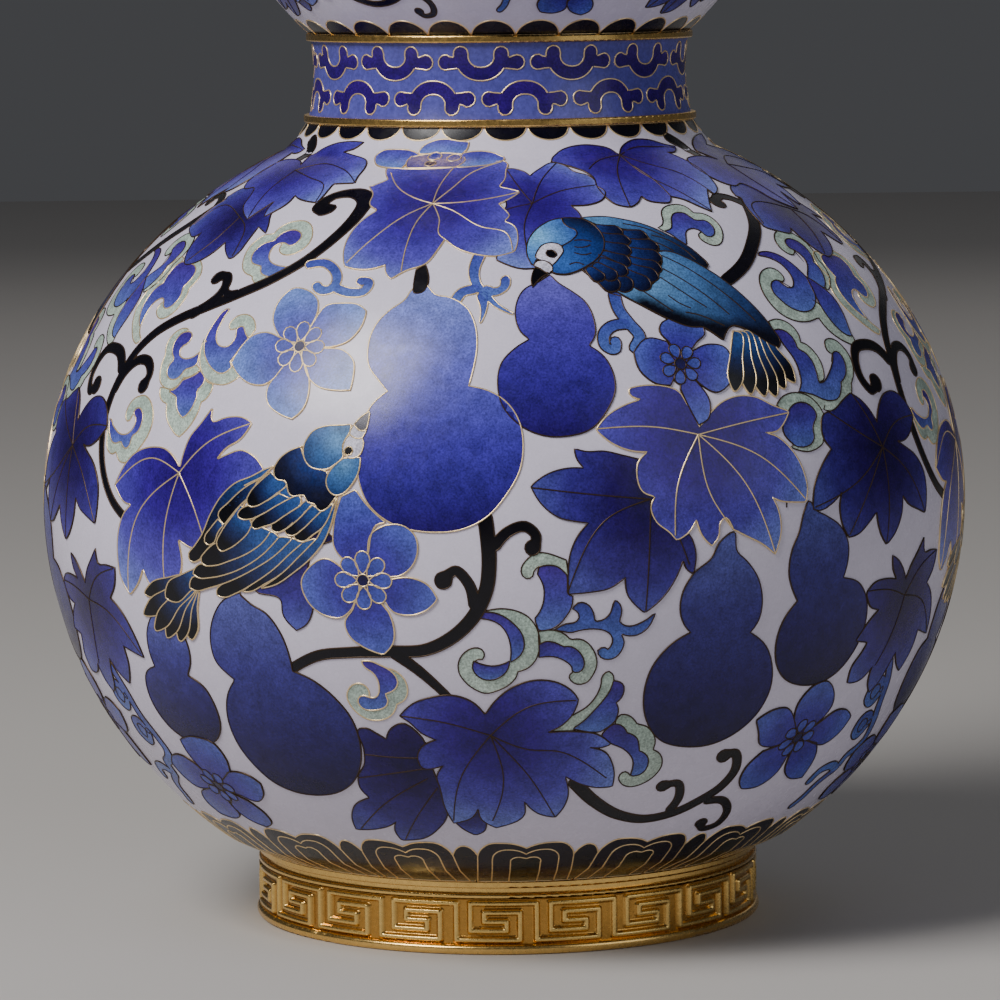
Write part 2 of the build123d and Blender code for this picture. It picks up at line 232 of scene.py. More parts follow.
def disc(x, s, radius, count=16):
    """A round outline."""
    angle = np.linspace(0, 2 * pi, count, endpoint=False)
    return np.stack([x + radius * np.cos(angle), s + radius * np.sin(angle)], 1)


def inside(loop, places):
    """Which of the places lie inside a closed loop."""
    x, y = places.T
    hit = np.zeros(len(places), bool)
    nearby = ((x > loop[:, 0].min()) & (x < loop[:, 0].max())
              & (y > loop[:, 1].min()) & (y < loop[:, 1].max()))
    if not nearby.any():
        return hit
    x, y = x[nearby, None], y[nearby, None]
    x0, y0 = loop.T
    x1, y1 = np.roll(loop, -1, 0).T
    with np.errstate(divide="ignore", invalid="ignore"):
        crossing = ((y0 > y) != (y1 > y)) & (x < (x1 - x0) * (y - y0) / (y1 - y0) + x0)
    hit[nearby] = crossing.sum(1) % 2 == 1
    return hit


def triangles(loop, step=CELL_STEP):
    """A triangle mesh over the inside of a loop: its points and faces."""
    low, high = loop.min(0), loop.max(0)
    grid = np.stack(np.meshgrid(np.arange(low[0], high[0], step),
                                np.arange(low[1], high[1], step * 0.87)), -1)
    grid[1::2, :, 0] += step / 2
    grid = grid.reshape(-1, 2)
    grid = grid[inside(loop, grid)]
    if len(grid):
        away = np.hypot(*(grid[:, None] - loop[None]).transpose(2, 0, 1)).min(1)
        grid = grid[away > step * 0.45]
    verts = [Vector(p) for p in np.concatenate([loop, grid])]
    flat, _, faces, *_ = delaunay_2d_cdt(verts, [], [list(range(len(loop)))], 1, 1e-4)
    return np.array([tuple(p) for p in flat]), [tuple(face) for face in faces]


# ---- Colours ----------------------------------------------------------------
def linear(*rgb):
    """A colour given as 0 to 255 on screen, as the renderer's linear values."""
    value = np.array(rgb) / 255
    return np.where(value < 0.04045, value / 12.92, ((value + 0.055) / 1.055) ** 2.4)


def ramp(*colours):
    """A run of colours from the start of a cell to its far end."""
    table = np.array([linear(*colour) for colour in colours])
    places = np.linspace(0, 1, len(colours))
    return lambda t: np.stack([np.interp(t, places, table[:, c]) for c in range(3)], 1)


PAINT = {
    "leaf": ramp((32, 4, 94), (48, 22, 128), (74, 66, 166), (112, 130, 206)),
    "dark leaf": ramp((18, 4, 60), (34, 14, 90), (52, 40, 128), (76, 82, 162)),
    "petal": ramp((64, 54, 156), (80, 90, 178), (104, 132, 204)),
    "dark petal": ramp((48, 28, 120), (58, 50, 150), (78, 92, 176)),
    "light gourd": ramp((112, 128, 204), (86, 90, 188), (60, 50, 154), (32, 8, 96)),
    "gourd": ramp((96, 92, 184), (68, 56, 158), (50, 34, 134), (32, 8, 92)),
    "dark gourd": ramp((82, 88, 160), (54, 50, 126), (38, 30, 98), (20, 10, 56)),
    "vine": ramp((6, 4, 12), (9, 7, 18)),
    "celadon": ramp((160, 180, 170), (176, 192, 182)),
    "cloud": ramp((62, 36, 134), (66, 62, 156), (88, 108, 184)),
    "sprout": ramp((58, 64, 150), (80, 106, 182)),
    "stamen": ramp((46, 44, 138), (70, 82, 170)),
    "core": ramp((14, 6, 56), (20, 10, 76)),
    "sky": ramp((116, 178, 220), (84, 138, 206), (40, 70, 150)),
    "crown": ramp((88, 138, 188), (54, 96, 152), (28, 52, 102)),
    "mantle": ramp((46, 78, 144), (30, 48, 110), (14, 18, 48), (4, 4, 12)),
    "nape": ramp((52, 94, 166), (32, 58, 124), (8, 10, 32)),
    "far wing": ramp((86, 134, 182), (60, 98, 152), (26, 44, 88), (6, 6, 16)),
    "near wing": ramp((96, 142, 186), (68, 108, 160), (36, 58, 106), (14, 16, 42)),
    "scale": ramp((36, 56, 122), (24, 34, 84), (5, 4, 16)),
    "plume": ramp((46, 82, 142), (38, 66, 124), (22, 34, 78), (5, 5, 14), (4, 4, 12)),
    "black": ramp((4, 4, 10), (6, 6, 14)),
    "beak": ramp((90, 88, 104), (40, 38, 52)),
    "white": ramp((206, 204, 222), (196, 194, 214)),
    "violet": ramp((96, 88, 150), (78, 70, 134)),
    "midnight": ramp((6, 4, 22), (4, 3, 14)),
    "waist cloud": ramp((46, 12, 112), (36, 8, 96)),
    "lappet": ramp((8, 3, 24), (12, 5, 34)),
    "lappet heart": ramp((3, 9, 12), (5, 11, 14)),
}

GROUND, WAIST_GROUND, SOOT = (214, 208, 228), (80, 80, 160), (10, 10, 24)
FRET_HOLLOW, FRET_RIDGE = (200, 150, 76), (242, 204, 124)


# ---- The picture ------------------------------------------------------------
def spaced(loop, step=EDGE_STEP):
    """A loop with points added so that none of its sides is long."""
    made = []
    for start, end in zip(loop, np.roll(loop, -1, 0)):
        parts = max(1, int(np.hypot(*(end - start)) / step))
        made += [start + (end - start) * k / parts for k in range(parts)]
    return np.array(made)


class Cell:
    """One enamelled cell: an outline on a chart, its layer, colour and wire."""

    # wire picks the wire's tone: "bright" is the paler copy of the gilt for lit wires and "dark" the darker
    # copy for shaded ones, so painted light and shade.
    def __init__(self, meridian, loop, paint, layer, group=None, hub=None, wire="bright", soot=None):
        self.meridian, self.loop = meridian, loop
        self.paint, self.layer, self.group, self.hub = paint, layer, group, hub
        self.wire, self.soot = wire, soot


class Picture:
    """Cells and loose wires, drawn flat at a meridian and then laid on a chart."""

    def __init__(self, chart, period=PERIOD):
        self.chart, self.period = chart, period
        self.cells, self.lines, self.groups = [], [], 0

    def new_group(self):
        self.groups += 1
        return self.groups

    def cell(self, kind, meridian, loop, paint, layer, **more):
        loop = spaced(loop)
        made = Cell(meridian, loop, paint, layer, **more)
        made.kind = kind
        made.flat = self.wrap(meridian, loop)
        self.cells.append(made)
        return made

    def line(self, meridian, text, layer, wire="bright", places=None):
        """A wire that fences nothing, such as a leaf's vein."""
        places = smooth(points(text)[0]) if places is None else places
        self.lines.append((self.wrap(meridian, places), layer, wire))

    def wrap(self, meridian, places):
        """Flat millimetres at a meridian as degrees and outline length."""
        x, s = places.T
        return np.stack([meridian + np.degrees(x / self.chart.radius(s)), s], 1)

    def hidden(self, path, layer, owner=None):
        """Which points of a path lie under a cell that is above it."""
        covered = np.zeros(len(path), bool)
        for other in self.cells:
            sibling = owner is not None and owner.group is not None and other.group == owner.group
            if other is owner or not (other.layer > layer or sibling):
                continue
            for turn in (-self.period, 0, self.period):
                covered |= inside(other.flat, path - (turn, 0))
        return covered


def visible_runs(picture, path, layer, owner=None, loop=False):
    """The parts of a path that no higher cell covers, closely spaced."""
    if loop:
        path = np.concatenate([path, path[:1]])
    fine = []
    for a, b in zip(path, path[1:]):
        length = np.hypot((b[0] - a[0]) * picture.chart.radius(a[1]) * pi / 180, b[1] - a[1])
        steps = max(1, int(round(length / PROBE_STEP)))
        fine.append(a + (b - a) * np.arange(steps)[:, None] / steps)
    fine = np.concatenate(fine + [path[-1:]])
    shown = ~picture.hidden(fine, layer, owner)
    if shown.all():
        return [(fine[::WIRE_KEEP] if loop else np.concatenate([fine[:-1:WIRE_KEEP], fine[-1:]]), loop)]
    runs = []
    edges = np.flatnonzero(np.diff(np.concatenate([[False], shown, [False]]).astype(int)))
    for start, end in zip(edges[::2], edges[1::2]):
        if end - start >= WIRE_KEEP:
            part = fine[start:end]
            runs.append((np.concatenate([part[:-1:WIRE_KEEP], part[-1:]]), False))
    if loop and len(runs) > 1 and shown[0] and shown[-1]:
        runs[0] = (np.concatenate([runs.pop()[0][:-1], runs[0][0]]), False)
    return runs


# ---- Meshes -----------------------------------------------------------------
class Builder:
    """Collects points, faces and colours, and makes one Blender object of them."""

    def __init__(self):
        self.verts, self.faces, self.colours, self.count = [], [], [], 0

    def add(self, verts, faces, colour):
        self.verts.append(verts)
        self.faces += [tuple(self.count + i for i in face) for face in faces]
        self.colours.append(np.broadcast_to(colour, (len(verts), 3)))
        self.count += len(verts)

    def make(self, name, material, slot, replaces=(), smooth_faces=True):
        mesh = bpy.data.meshes.new(name)
        mesh.from_pydata(np.concatenate(self.verts) / 1000, [], self.faces)
        paint = mesh.color_attributes.new("paint", "FLOAT_COLOR", "POINT")
        rgba = np.ones((self.count, 4), np.float32)
        rgba[:, :3] = np.concatenate(self.colours)
        paint.data.foreach_set("color", rgba.ravel())
        mesh.polygons.foreach_set("use_smooth", [smooth_faces] * len(mesh.polygons))
        mesh.materials.append(material)
        piece = bpy.data.objects.new(name, mesh)
        bpy.context.collection.objects.link(piece)
        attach(piece, "root")
        if replaces:
            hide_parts(*replaces)
        return piece


def grid_faces(rows, columns, round_rows=False, round_columns=False):
    """Quads over a grid of points stored row by row."""
    faces = []
    for i in range(rows if round_rows else rows - 1):
        for j in range(columns if round_columns else columns - 1):
            a, b = i * columns + j, i * columns + (j + 1) % columns
            c, d = (i + 1) % rows * columns + (j + 1) % columns, (i + 1) % rows * columns + j
            faces.append((a, b, c, d))
    return faces


def coat(builder, chart, low, high, colour, step=2.0, columns=360):
    """Bare ground enamel between two places on a chart."""
    rows = max(2, int((high - low) / step) + 1)
    s = np.repeat(np.linspace(low, high, rows), columns)
    theta = np.tile(np.arange(columns) * 360 / columns, rows)
    builder.add(chart.point(theta, s), grid_faces(rows, columns, round_columns=True), colour)


def wire_strip(builder, chart, path, lift, loop):
    """A low rounded wire along a path, its feet down on the ground coat."""
    theta, s = path.T
    if len(path) < 2:
        return
    centre, normal = chart.point(theta, s), chart.normal(theta, s)
    if loop:
        along = np.roll(centre, -1, 0) - np.roll(centre, 1, 0)
    else:
        along = np.gradient(centre, axis=0)
    side = np.cross(along, normal)
    side /= np.maximum(np.linalg.norm(side, axis=1), 1e-9)[:, None]
    crest = lift + WIRE_PROUD
    section = ((-0.5, 0.0), (-0.4, crest), (0.4, crest), (0.5, 0.0))
    verts = np.stack([centre + side * across * WIRE_WIDTH + normal * up for across, up in section], 1)
    faces = grid_faces(len(path), len(section), round_rows=loop)
    builder.add(verts.reshape(-1, 3), faces, (1, 1, 1))


def shade(cell, flat):
    """A cell's colour at each of its flat points."""
    if cell.hub is not None:
        away = np.hypot(*(flat - cell.hub).T)
        colour = PAINT[cell.paint](away / away.max())
    else:
        top, bottom = flat[:, 1].max(), flat[:, 1].min()
        colour = PAINT[cell.paint]((top - flat[:, 1]) / (top - bottom))
    if cell.soot:
        line, reach = smooth(points(cell.soot[0])[0]), cell.soot[1]
        near = np.hypot(*(flat[:, None] - line[None]).transpose(2, 0, 1)).min(1)
        dark = np.clip(1.5 - near / reach, 0, 1)[:, None]
        colour = colour * (1 - dark) + linear(*SOOT) * dark
    return colour


def lay_cells(picture, chart, kinds, turns, scale=1.0):
    """A builder holding every cell of some kinds, laid on a chart."""
    builder = Builder()
    for cell in picture.cells:
        if cell.kind not in kinds:
            continue
        if not hasattr(cell, "mesh"):
            flat, faces = triangles(cell.loop, FINE_STEP if cell.kind == "birds" else CELL_STEP)
            cell.mesh = picture.wrap(cell.meridian, flat), faces, shade(cell, flat)
        places, faces, colour = cell.mesh
        for turn in turns:
            verts = chart.point(places[:, 0] + turn, places[:, 1] * scale, cell.layer * LAYER + CELL_LIFT)
            builder.add(verts, faces, colour)
    return builder


def lay_wires(picture, chart, wire, turns, scale=1.0):
    """A builder holding every wire of one tone, the paler lit copy or the darker shaded copy of the gilt
    wire (painted light and shade), laid on a chart.
    """
    builder = Builder()
    for run, loop, layer, finish in picture.runs:
        if finish != wire:
            continue
        for turn in turns:
            path = np.stack([run[:, 0] + turn, run[:, 1] * scale], 1)
            wire_strip(builder, chart, path, layer * LAYER, loop)
    return builder


def find_runs(picture):
    """Works out once what shows of every wire of a picture."""
    picture.runs = []
    for cell in picture.cells:
        if cell.wire:
            for run, loop in visible_runs(picture, cell.flat, cell.layer, cell, True):
                picture.runs.append((run, loop, cell.layer, cell.wire))
    for path, layer, wire in picture.lines:
        for run, loop in visible_runs(picture, path, layer):
            picture.runs.append((run, loop, layer, wire))


def add_leaf(picture, meridian, hub, outline, veins, paint="leaf", layer=5, wire="dark"):
    """A vine leaf whose veins run out from its hub."""
    picture.cell("leaves", meridian, closed(outline), paint, layer, hub=hub, wire=wire)
    for vein in veins:
        start = f"{hub[0]},{hub[1]} " if not vein.startswith("!") else ""
        picture.line(meridian, start + vein.strip("!"), layer, wire)


def add_flower(picture, meridian, centre, petals, paint, loops, reach, wire="bright"):
    """Separate petals round a ring of stamen loops and a dark heart."""
    for petal in petals:
        picture.cell("flowers", meridian, closed(petal), paint, 6, hub=centre, wire=wire)
    for index in range(loops):
        angle = 2 * pi * index / loops
        turn = np.array([[np.cos(angle), np.sin(angle)], [-np.sin(angle), np.cos(angle)]])
        half = 0.26 * reach
        flat = np.array([(1.2, 0), (reach * 0.6, half), (reach * 0.9, half * 0.8), (reach, 0),
                         (reach * 0.9, -half * 0.8), (reach * 0.6, -half), (1.2, 0)])
        loop = smooth(flat)[:-1] @ turn + centre
        picture.cell("flowers", meridian, loop, "stamen", 6.4, hub=centre, wire=wire)
    picture.cell("flowers", meridian, disc(*centre, 1.3), "core", 6.8, wire=wire)


def add_strokes(picture, kind, meridian, paint, layer, strokes, wire="bright"):
    """Brush lines that run into each other and share one outline."""
    group = picture.new_group()
    for number, (text, *widths) in enumerate(strokes):
        loop = stroke(text, *widths)
        picture.cell(kind, meridian, loop, paint, layer + STROKE_LIFT * number, group=group, wire=wire)


def add_cloud(picture, meridian, blues, celadons, layer=1):
    """A cloud: blue fields over the celadon ones that curl round them.

    A celadon outline runs on under the blue, whose wire then borders both.
    """
    # Painted light and shade: the wires of clouds right of the middle take the darker, shaded copy of the
    # gilt, and those on the left the paler, lit one.
    wire = "dark" if meridian > 0 else "bright"
    for outline in celadons:
        picture.cell("clouds", meridian, closed(outline), "celadon", layer, wire=wire)
    for outline in blues:
        picture.cell("clouds", meridian, closed(outline), "cloud", layer + 0.5, wire=wire)


def add_feathers(picture, meridian, feathers, paint, layer, wire="bright"):
    """Straight overlapping feathers, each (root, tip, width), the first one lowest."""
    for number, (x0, s0, x1, s1, width) in enumerate(feathers):
        root, tip = np.array([x0, s0]), np.array([x1, s1])
        along = tip - root
        length = np.hypot(*along)
        along = along / length
        side = np.array([-along[1], along[0]])
        places = [root + along * length * a + side * width * b
                  for a, b in ((0, -0.25), (0.45, -0.45), (0.82, -0.5), (1.0, 0.0),
                               (0.82, 0.5), (0.45, 0.45), (0, 0.25))]
        loop = smooth(np.array(places + places[:1]), 0.6)[:-1]
        picture.cell("birds", meridian, loop, paint, layer + 0.08 * number, hub=(x0, s0), wire=wire)


def draw_leaves(picture):
    """The vine leaves, and the dark lobes that show between them."""
    add_leaf(picture, -20, (7.7, 80),
             "-6.6,93 -3,92.8 8,93.4 16,95.5 17.5,96.2* 18.8,94.8 19.3,92 20.1,88.5 19.7,85.8* 22,85 "
             "24.7,83.9* 23.8,82.4 21.4,79.8* 23.5,77.5 24.7,75.8 24,74.2* 26.2,73 28.2,69 28.5,65.4* "
             "25.5,64.2 21,64.6 16.5,66.4 13.3,69* 12.6,66 11,62 7.5,60.3 4.8,58* 3.4,59.5 2.7,61.7* "
             "0,60.6 -4,60.6 -6.2,61.2* -7.4,64.5 -7.7,68.5 -6.5,73.5 -3.6,77.7* -6,79.5 -6.4,83 "
             "-8.2,85.6* -6.5,86.8 -4.7,88.5* -6,90.5",
             ("3,82 -1,85 -5,91", "7.3,85 8,93", "10,85 13,92 17.3,95.8", "14,80.5 20,82 24.2,83.7",
              "12,78 20,72.5 25,71 28,65.5", "10.5,75 12,70 13.3,69", "6,74 5.8,67 6.5,60",
              "3,76 -2,69 -6,62"), layer=5.4, wire="bright")
    add_leaf(picture, 20, (-15.4, 79.8),
             "-17,92.5 -15.5,92.8 -13.5,91.5 -12.8,89.8* -10,92.5 -6,95 -4.3,93.8 -3,91 -.8,89.8* .3,87 "
             "-.2,85.5* 1.2,83.5 0,81 -4,79 -7.8,78.9* -6.8,77 -6.7,74.8 -10,72 -18,68 -20,64 -19.7,60.8* "
             "-23,60.7 -27.5,63.2* -25.5,67 -25,74 -21,79 -20,86 -18,90.5",
             ("-16.5,86 -16.8,92", "-11,88 -5.5,95", "-8,84 -.3,85.7", "-21,78 -23,77",
              "-19,73 -20.5,66"))
    add_leaf(picture, 20, (9.8, 97.5),
             "-6.5,95.5* -5.5,97.5 -3,99.8 1,101 5,100.8 8,99.8 9.8,97.7* 11,100 14,101.8 19,101.8 "
             "24,100.2 27.2,99.5* 26.5,98.2 23.2,97.8* 25.5,95.5 28.5,91.5 30.3,86.5 29.8,82 28,80.7* "
             "26.8,82.5* 25,77.5 24.5,75.2* 22,77 18,80 15.8,80.8* 15,79 12,79 9.5,80 8.8,81.5* 7,79 "
             "5,77.8* 2,79 .5,82 0,85 .3,89 -1,91.5* -4,94",
             ("4,95.5 .5,92", "7,92 5,78", "12,90 19,82 24.5,75.5", "14,94 22,89 28,81",
              "13,99.5 20,99.8 26.5,99.2", "!11,93 14,87 15.8,81"))
    add_leaf(picture, -60, (6.5, 74),
             "-9,79.8* -8,81.8 -5,84 0,86 8,84 12.5,80 14,78 16,75 18.5,72 20,69.7* 16,71.5* 17,67 "
             "17.5,64 17,62.2* 15.8,62.2* 13,64 10.2,66.5* 9.5,64 6,60.5 2,59.8 0,61.5 -1.8,65 "
             "-2.5,68.5* -4,67.2 -8,68 -11.3,69.5* -10.8,73 -9.5,77 -8,79*",
             ("-8,76 -10.5,70.5", "6,68 2,60.5", "12,71 16.5,62.8"), "dark leaf", 3)
    add_leaf(picture, -60, (5, 91),
             "1.5,97.2* 3,99.5 6,101.2 10,102 14.8,102* 13.5,100.2 11,99.2* 16,98 21,96 24,92.5 "
             "25.5,89.5 27.2,87* 25,86.8 22.2,86.5* 23,84.5 24,82 24.5,79.8* 21,80.2 17.5,81.2 16,82* "
             "16.8,79 15.5,76 14.5,74.5* 13,77 12.2,79.7* 11,76.5 10,73.5* 7,75 3,78 1,81.5 -1.5,83.7 "
             "-5,83 -8,85 -9.2,88.5 -8.8,92 -7,94.5 -4,95.2 -.5,95.2 2,94.5 4,93*",
             ("10,94 18,92.5 27,87.2", "13,88.5 20,86 24,80", "5.5,84 9.8,74"))
    add_leaf(picture, 20, (6.5, 22),
             "7,23.5* 9.5,26 13,28.5 17,29.5 21,29 25,27 29,25.5* 27.5,23.5 25.5,21.8 22.2,21.5* "
             "25,20.5 28,18 31,13 31.7,9.5 31.2,6.8* 28,7 24.5,7.5 22.6,8.3* 23.8,6 24.5,2 23,-3.2* "
             "20,-1 16,1 13,2.5* 11,5 10,4 9.5,1 8,-.5* 6,1.5 4.7,5* 3,2.5 .3,1* -1,2.5 -4,5 -5,8 "
             "-4,10* -6.5,11 -7.5,14 -7,17 -4.8,19* -8,19.3 -12,21 -15,23.8* -12.5,26.5 -9,28.5 "
             "-4.8,29.8* -7,31 -7,32.2* -4,32.7 0,32.5 3,31.5 5.5,28 6.5,25.5",
             ("-3,24 -15,24", "18,24 28.5,25.2", "20,17 31,7.5", "16,12 23,-3", "8,10 13,2.5",
              "1,12 0,2"), layer=5.4, wire="bright")
    add_leaf(picture, 20, (-5, 9.5),
             "-6.5,17.5* -10,18.5 -14,19.5 -17.5,19.5 -19.8,20.2* -19.5,18 -18.2,16.2* -22,16.2 "
             "-26,15 -29.2,12.8* -27.5,9.5 -24,6.5 -20,5.5 -18,5.2* -20,3 -21.8,-1 -22.2,-5 -22,-9* "
             "-18,-8.8 -13.5,-8 -10.5,-6* -10,-9.5 -8,-12 -6.2,-13.5* -3,-11 .5,-6 1.7,-3* 2.5,-5 "
             "4,-6* 4.5,-2 3.5,1.5* 1,4 -4,10 -6,14",
             ("-18,11 -29,12.5", "-14,6 -22,-8", "-5.5,0 -6,-13", "0,3 3,-4"), "dark leaf", 4.5)
    add_leaf(picture, -60, (31, 13.5),
             "10.5,9.5* 12.5,13 16,16.5 21,18.2 26,18 30,15.5 31,14.5* 31.3,18 32,21 34,24 35.8,27.5* "
             "37,24.5 40,25.5 44,25.8 47,24.7* 45.5,21.5 42,19 40.5,16.8* 43,18 45.9,19 49.4,18 "
             "52.4,15.5* 50,10 46,4 40,0 37,-1.5 32,0* 32.5,-6 31,-8.5 27,-10.5 23.5,-11 20.5,-7* "
             "18.5,-10 14.8,-13* 12.5,-10 11.8,-5 12.5,0 14.5,4 17,6* 14,6.5 12,8",
             ("22,16 10.7,9.7", "20,5 14.5,-12", "28,2 27,-10", "36,7 39,1", "37,20 46.5,24.5"),
             wire="bright")
    add_leaf(picture, -60, (-4, -16),
             "-11,-6.8* -8.5,-8 -5.5,-11 -4.5,-12.5* -3,-10 .5,-6.5 2.5,-4.5* 3.2,-7.5 6.5,-7.5 "
             "10.2,-7.8* 9.5,-11 6.5,-14.5* 10,-17 13,-22 14.2,-26.8* 11,-26 7.3,-25* 7,-29 5.5,-32 "
             "4,-34* 1,-32 -1.5,-29* -3,-32 -5,-36 -7,-37.5* -9,-35.5 -10,-33 -10,-31* -12.5,-33.5 "
             "-17.5,-34* -18,-30 -16,-27 -15,-25* -19.5,-24.2* -18,-22 -15,-19 -13.5,-18* -17,-17 "
             "-19.2,-13.8* -17,-12 -13,-11.5 -8.5,-12* -10.5,-9.5",
             ("-11,-14 -18.5,-13.5", "1,-11 9.5,-8", "5,-18 13.5,-26", "-6,-24 -9,-31"), "dark leaf")
    add_leaf(picture, 60, (-12.5, 16),
             "-18.5,28* -16,26.5 -13,22.5 -12.5,21.2* -10,24.5 -7,26.7 -3,27.2 1,25 3.2,21.2* 0,18 "
             "-4,16.5 -6.5,16.8* -4,15.5 .5,13 3.5,9 3.8,5 2.8,.8* -1,2 -5,3.5 -7.2,5.5* -7.8,2 "
             "-10.5,-2 -13.7,-4.2* -16,-1.5 -17,1 -17.3,3* -20,1 -24,-1.2 -26.5,-1.5* -28.5,1.5 "
             "-29,5 -28,8* -31,6 -35.5,4.8 -36.7,5.2* -35.5,10 -32.5,14 -29,17* -30.5,19 -29,24 "
             "-25,25 -21,27",
             ("-15,22 -18,27.5", "-7,20 3,21.4", "-5,11 2.5,1.2", "-12.5,6 -13.7,-4",
              "-20,7 -26.3,-1", "-22,10 -36,5.5", "-20,20 -27,24.5"), "dark leaf")
    add_leaf(picture, -20, (28.5, -40),
             "10.7,-35.5* 14,-32.5 18,-31 22,-30.5 26,-32 28.2,-35* 31,-31.5 35,-28.5 40,-27.2 44,-28 "
             "46.5,-30 47.5,-32* 46,-35 43,-38 40,-39.5* 46,-39.5 50.3,-40.5 52.6,-43* 49.5,-43.8 "
             "47.8,-43.5* 51,-45 52,-49 50.8,-54.5* 47,-54.5 43.8,-53 41.6,-51* 41.3,-56 39.5,-60 "
             "37,-63.2* 34,-62 31.8,-58* 31,-62 24.2,-66.3* 22,-64 22,-60* 20,-63 15.8,-64.8* 15.2,-60 "
             "15.5,-54 15.5,-51 17.5,-47.8* 13,-48.5 12.5,-46 14,-43 17.3,-41.2* 14.5,-39.5 12.5,-37",
             ("20,-37 11,-35.5", "38,-33 47,-32", "21,-50 16,-64", "29.2,-50 24,-64", "34,-50 37,-63",
              "35,-43.5 42,-44.5 50,-52"))
    picture.cell("leaves", -20, closed("16,-64* 17,-66.5 19.2,-69* 21.5,-67.5 22.5,-65* 21,-60 17,-60"),
                 "dark leaf", 2.8, wire="dark")
    add_leaf(picture, -20, (12, -48),
             "1.5,-39 3,-38.8 5,-40 6.8,-41.3* 8,-39 11,-37.3 14,-40 15,-48 15.5,-58 15.2,-62 12,-67 "
             "8,-70.5 3,-71.5* 2.5,-68 3.5,-65* 2.5,-66 -2,-68 -6.3,-68.5* -6,-64 -4,-60 -.3,-57.7* "
             "-1.7,-55 -1.5,-52 .8,-48 1.5,-44",
             ("!13.5,-51.5 3,-59 -5,-68", "!15,-54 8,-64 4,-71", "!17,-48 8,-50 -1.5,-52",
              "!13,-46 8,-46 1.5,-45.5"), "dark leaf", 3)
    picture.cell("leaves", -20, closed("-18,-9.5 -12.2,-11 -12,-14 -9.2,-17.2* -7,-16 -5,-12 -6,-6 -4,0 "
                                       "0,2 -4,4 -12,0"), "dark leaf", 2.8, wire="dark")


def draw_gourds(picture):
    """The gourds, and the stem that the largest hangs from."""
    gourds = (
        (-20, "light gourd", "bright",
         "9.5,54.7* 9,53 6.5,50.5 4.2,47 3.5,42 4.5,37.5 7,34.5 9.2,32.2* 6.5,29.5 4.8,25 4.6,20 5,14 "
         "7,9.5 11,6 16,4.2 21,3.7 26,4.2 31,6.5 35,11 37.5,16 37.8,21 36.5,26 34,29.5 30,32.2 "
         "25.5,33.4* 25.8,36 25.8,42 24.5,47 22,51 18,53.5 15,54.2 13.2,56 12.5,56.8* 10.8,56.5"),
        (20, "gourd", "dark",
         "-20.5,57* -23.5,55.5 -26,52 -27,48 -26.5,45 -25.2,43.5* -28.5,41.5 -32,38 -33.3,34 -33,29 "
         "-30,25 -25,22.8 -21,22.7 -16,24 -12,28 -9.8,32 -9.7,36 -11,39.5 -13.5,41.8* -11.8,44 "
         "-11.2,48 -12,52 -14.5,55 -16.5,57 -17.5,59*"),
        (-20, "dark gourd", "dark",
         "-22,-10* -26.5,-12 -29.5,-16 -30.8,-21 -30,-25.5 -27.5,-28 -25.8,-29.2* -28.5,-33 -29.8,-38 "
         "-29,-45 -26,-51 -22,-55.5 -17,-57.7 -13,-58 -8,-57 -3.5,-54 0,-48 1,-42 0,-36 -2.5,-32 "
         "-7,-28 -11.2,-26.2* -11.5,-23 -13,-18 -16,-14 -19.5,-12.2 -21.8,-10.5*"),
        (20, "dark gourd", "dark",
         "9.8,0 8,-3 4,-6 1.7,-10 1.5,-14 2.5,-16.5 4,-18.2* 0,-20.5 -3.5,-25 -4.7,-31 -3.5,-37 1,-43 "
         "7,-45 12,-45 18,-42.5 22.5,-38 24.7,-32 24.2,-27 22,-22.5 17.8,-19.2* 19.5,-17 20.2,-13 "
         "19,-8 16,-4 13.8,-2 13.2,2"),
        (60, "dark gourd", "dark",
         "-39,5 -40.5,1 -42.5,-3 -42.8,-8 -41.5,-11 -39.8,-13.5* -42.5,-17 -43.3,-21 -42,-26 -38,-30.5 "
         "-33,-32.5 -28,-32.8 -23,-31 -19,-26 -17.7,-21 -18.5,-16 -22,-11.5 -27.5,-9.8* -26.5,-6 "
         "-26.7,-2.5 -29,1 -33,3.5 -36,5 -37.5,7"),
        (-60, "dark gourd", "dark",
         "18.5,-20 17,-26 17.2,-28.5* 13,-30.5 10.8,-35 10.7,-39 13,-44 16,-46 21,-46.7 26,-45.5 "
         "30.5,-41 31.8,-36 31,-32 27.2,-29.5* 30,-25 30.2,-22 28,-18 23,-16"),
    )
    for meridian, paint, wire, outline in gourds:
        picture.cell("gourds", meridian, closed(outline), paint, 4, wire=wire)
    stem = "9.5,60.5* 11.2,61.8* 12.7,56 12.3,54.8 10.3,54.6 10,56"
    picture.cell("vines", -20, closed(stem), "vine", 4.3, wire="dark")
    picture.line(60, "-37.5,6 -39,8 -41,9 -43,8 -43.5,6", 1, "dark")


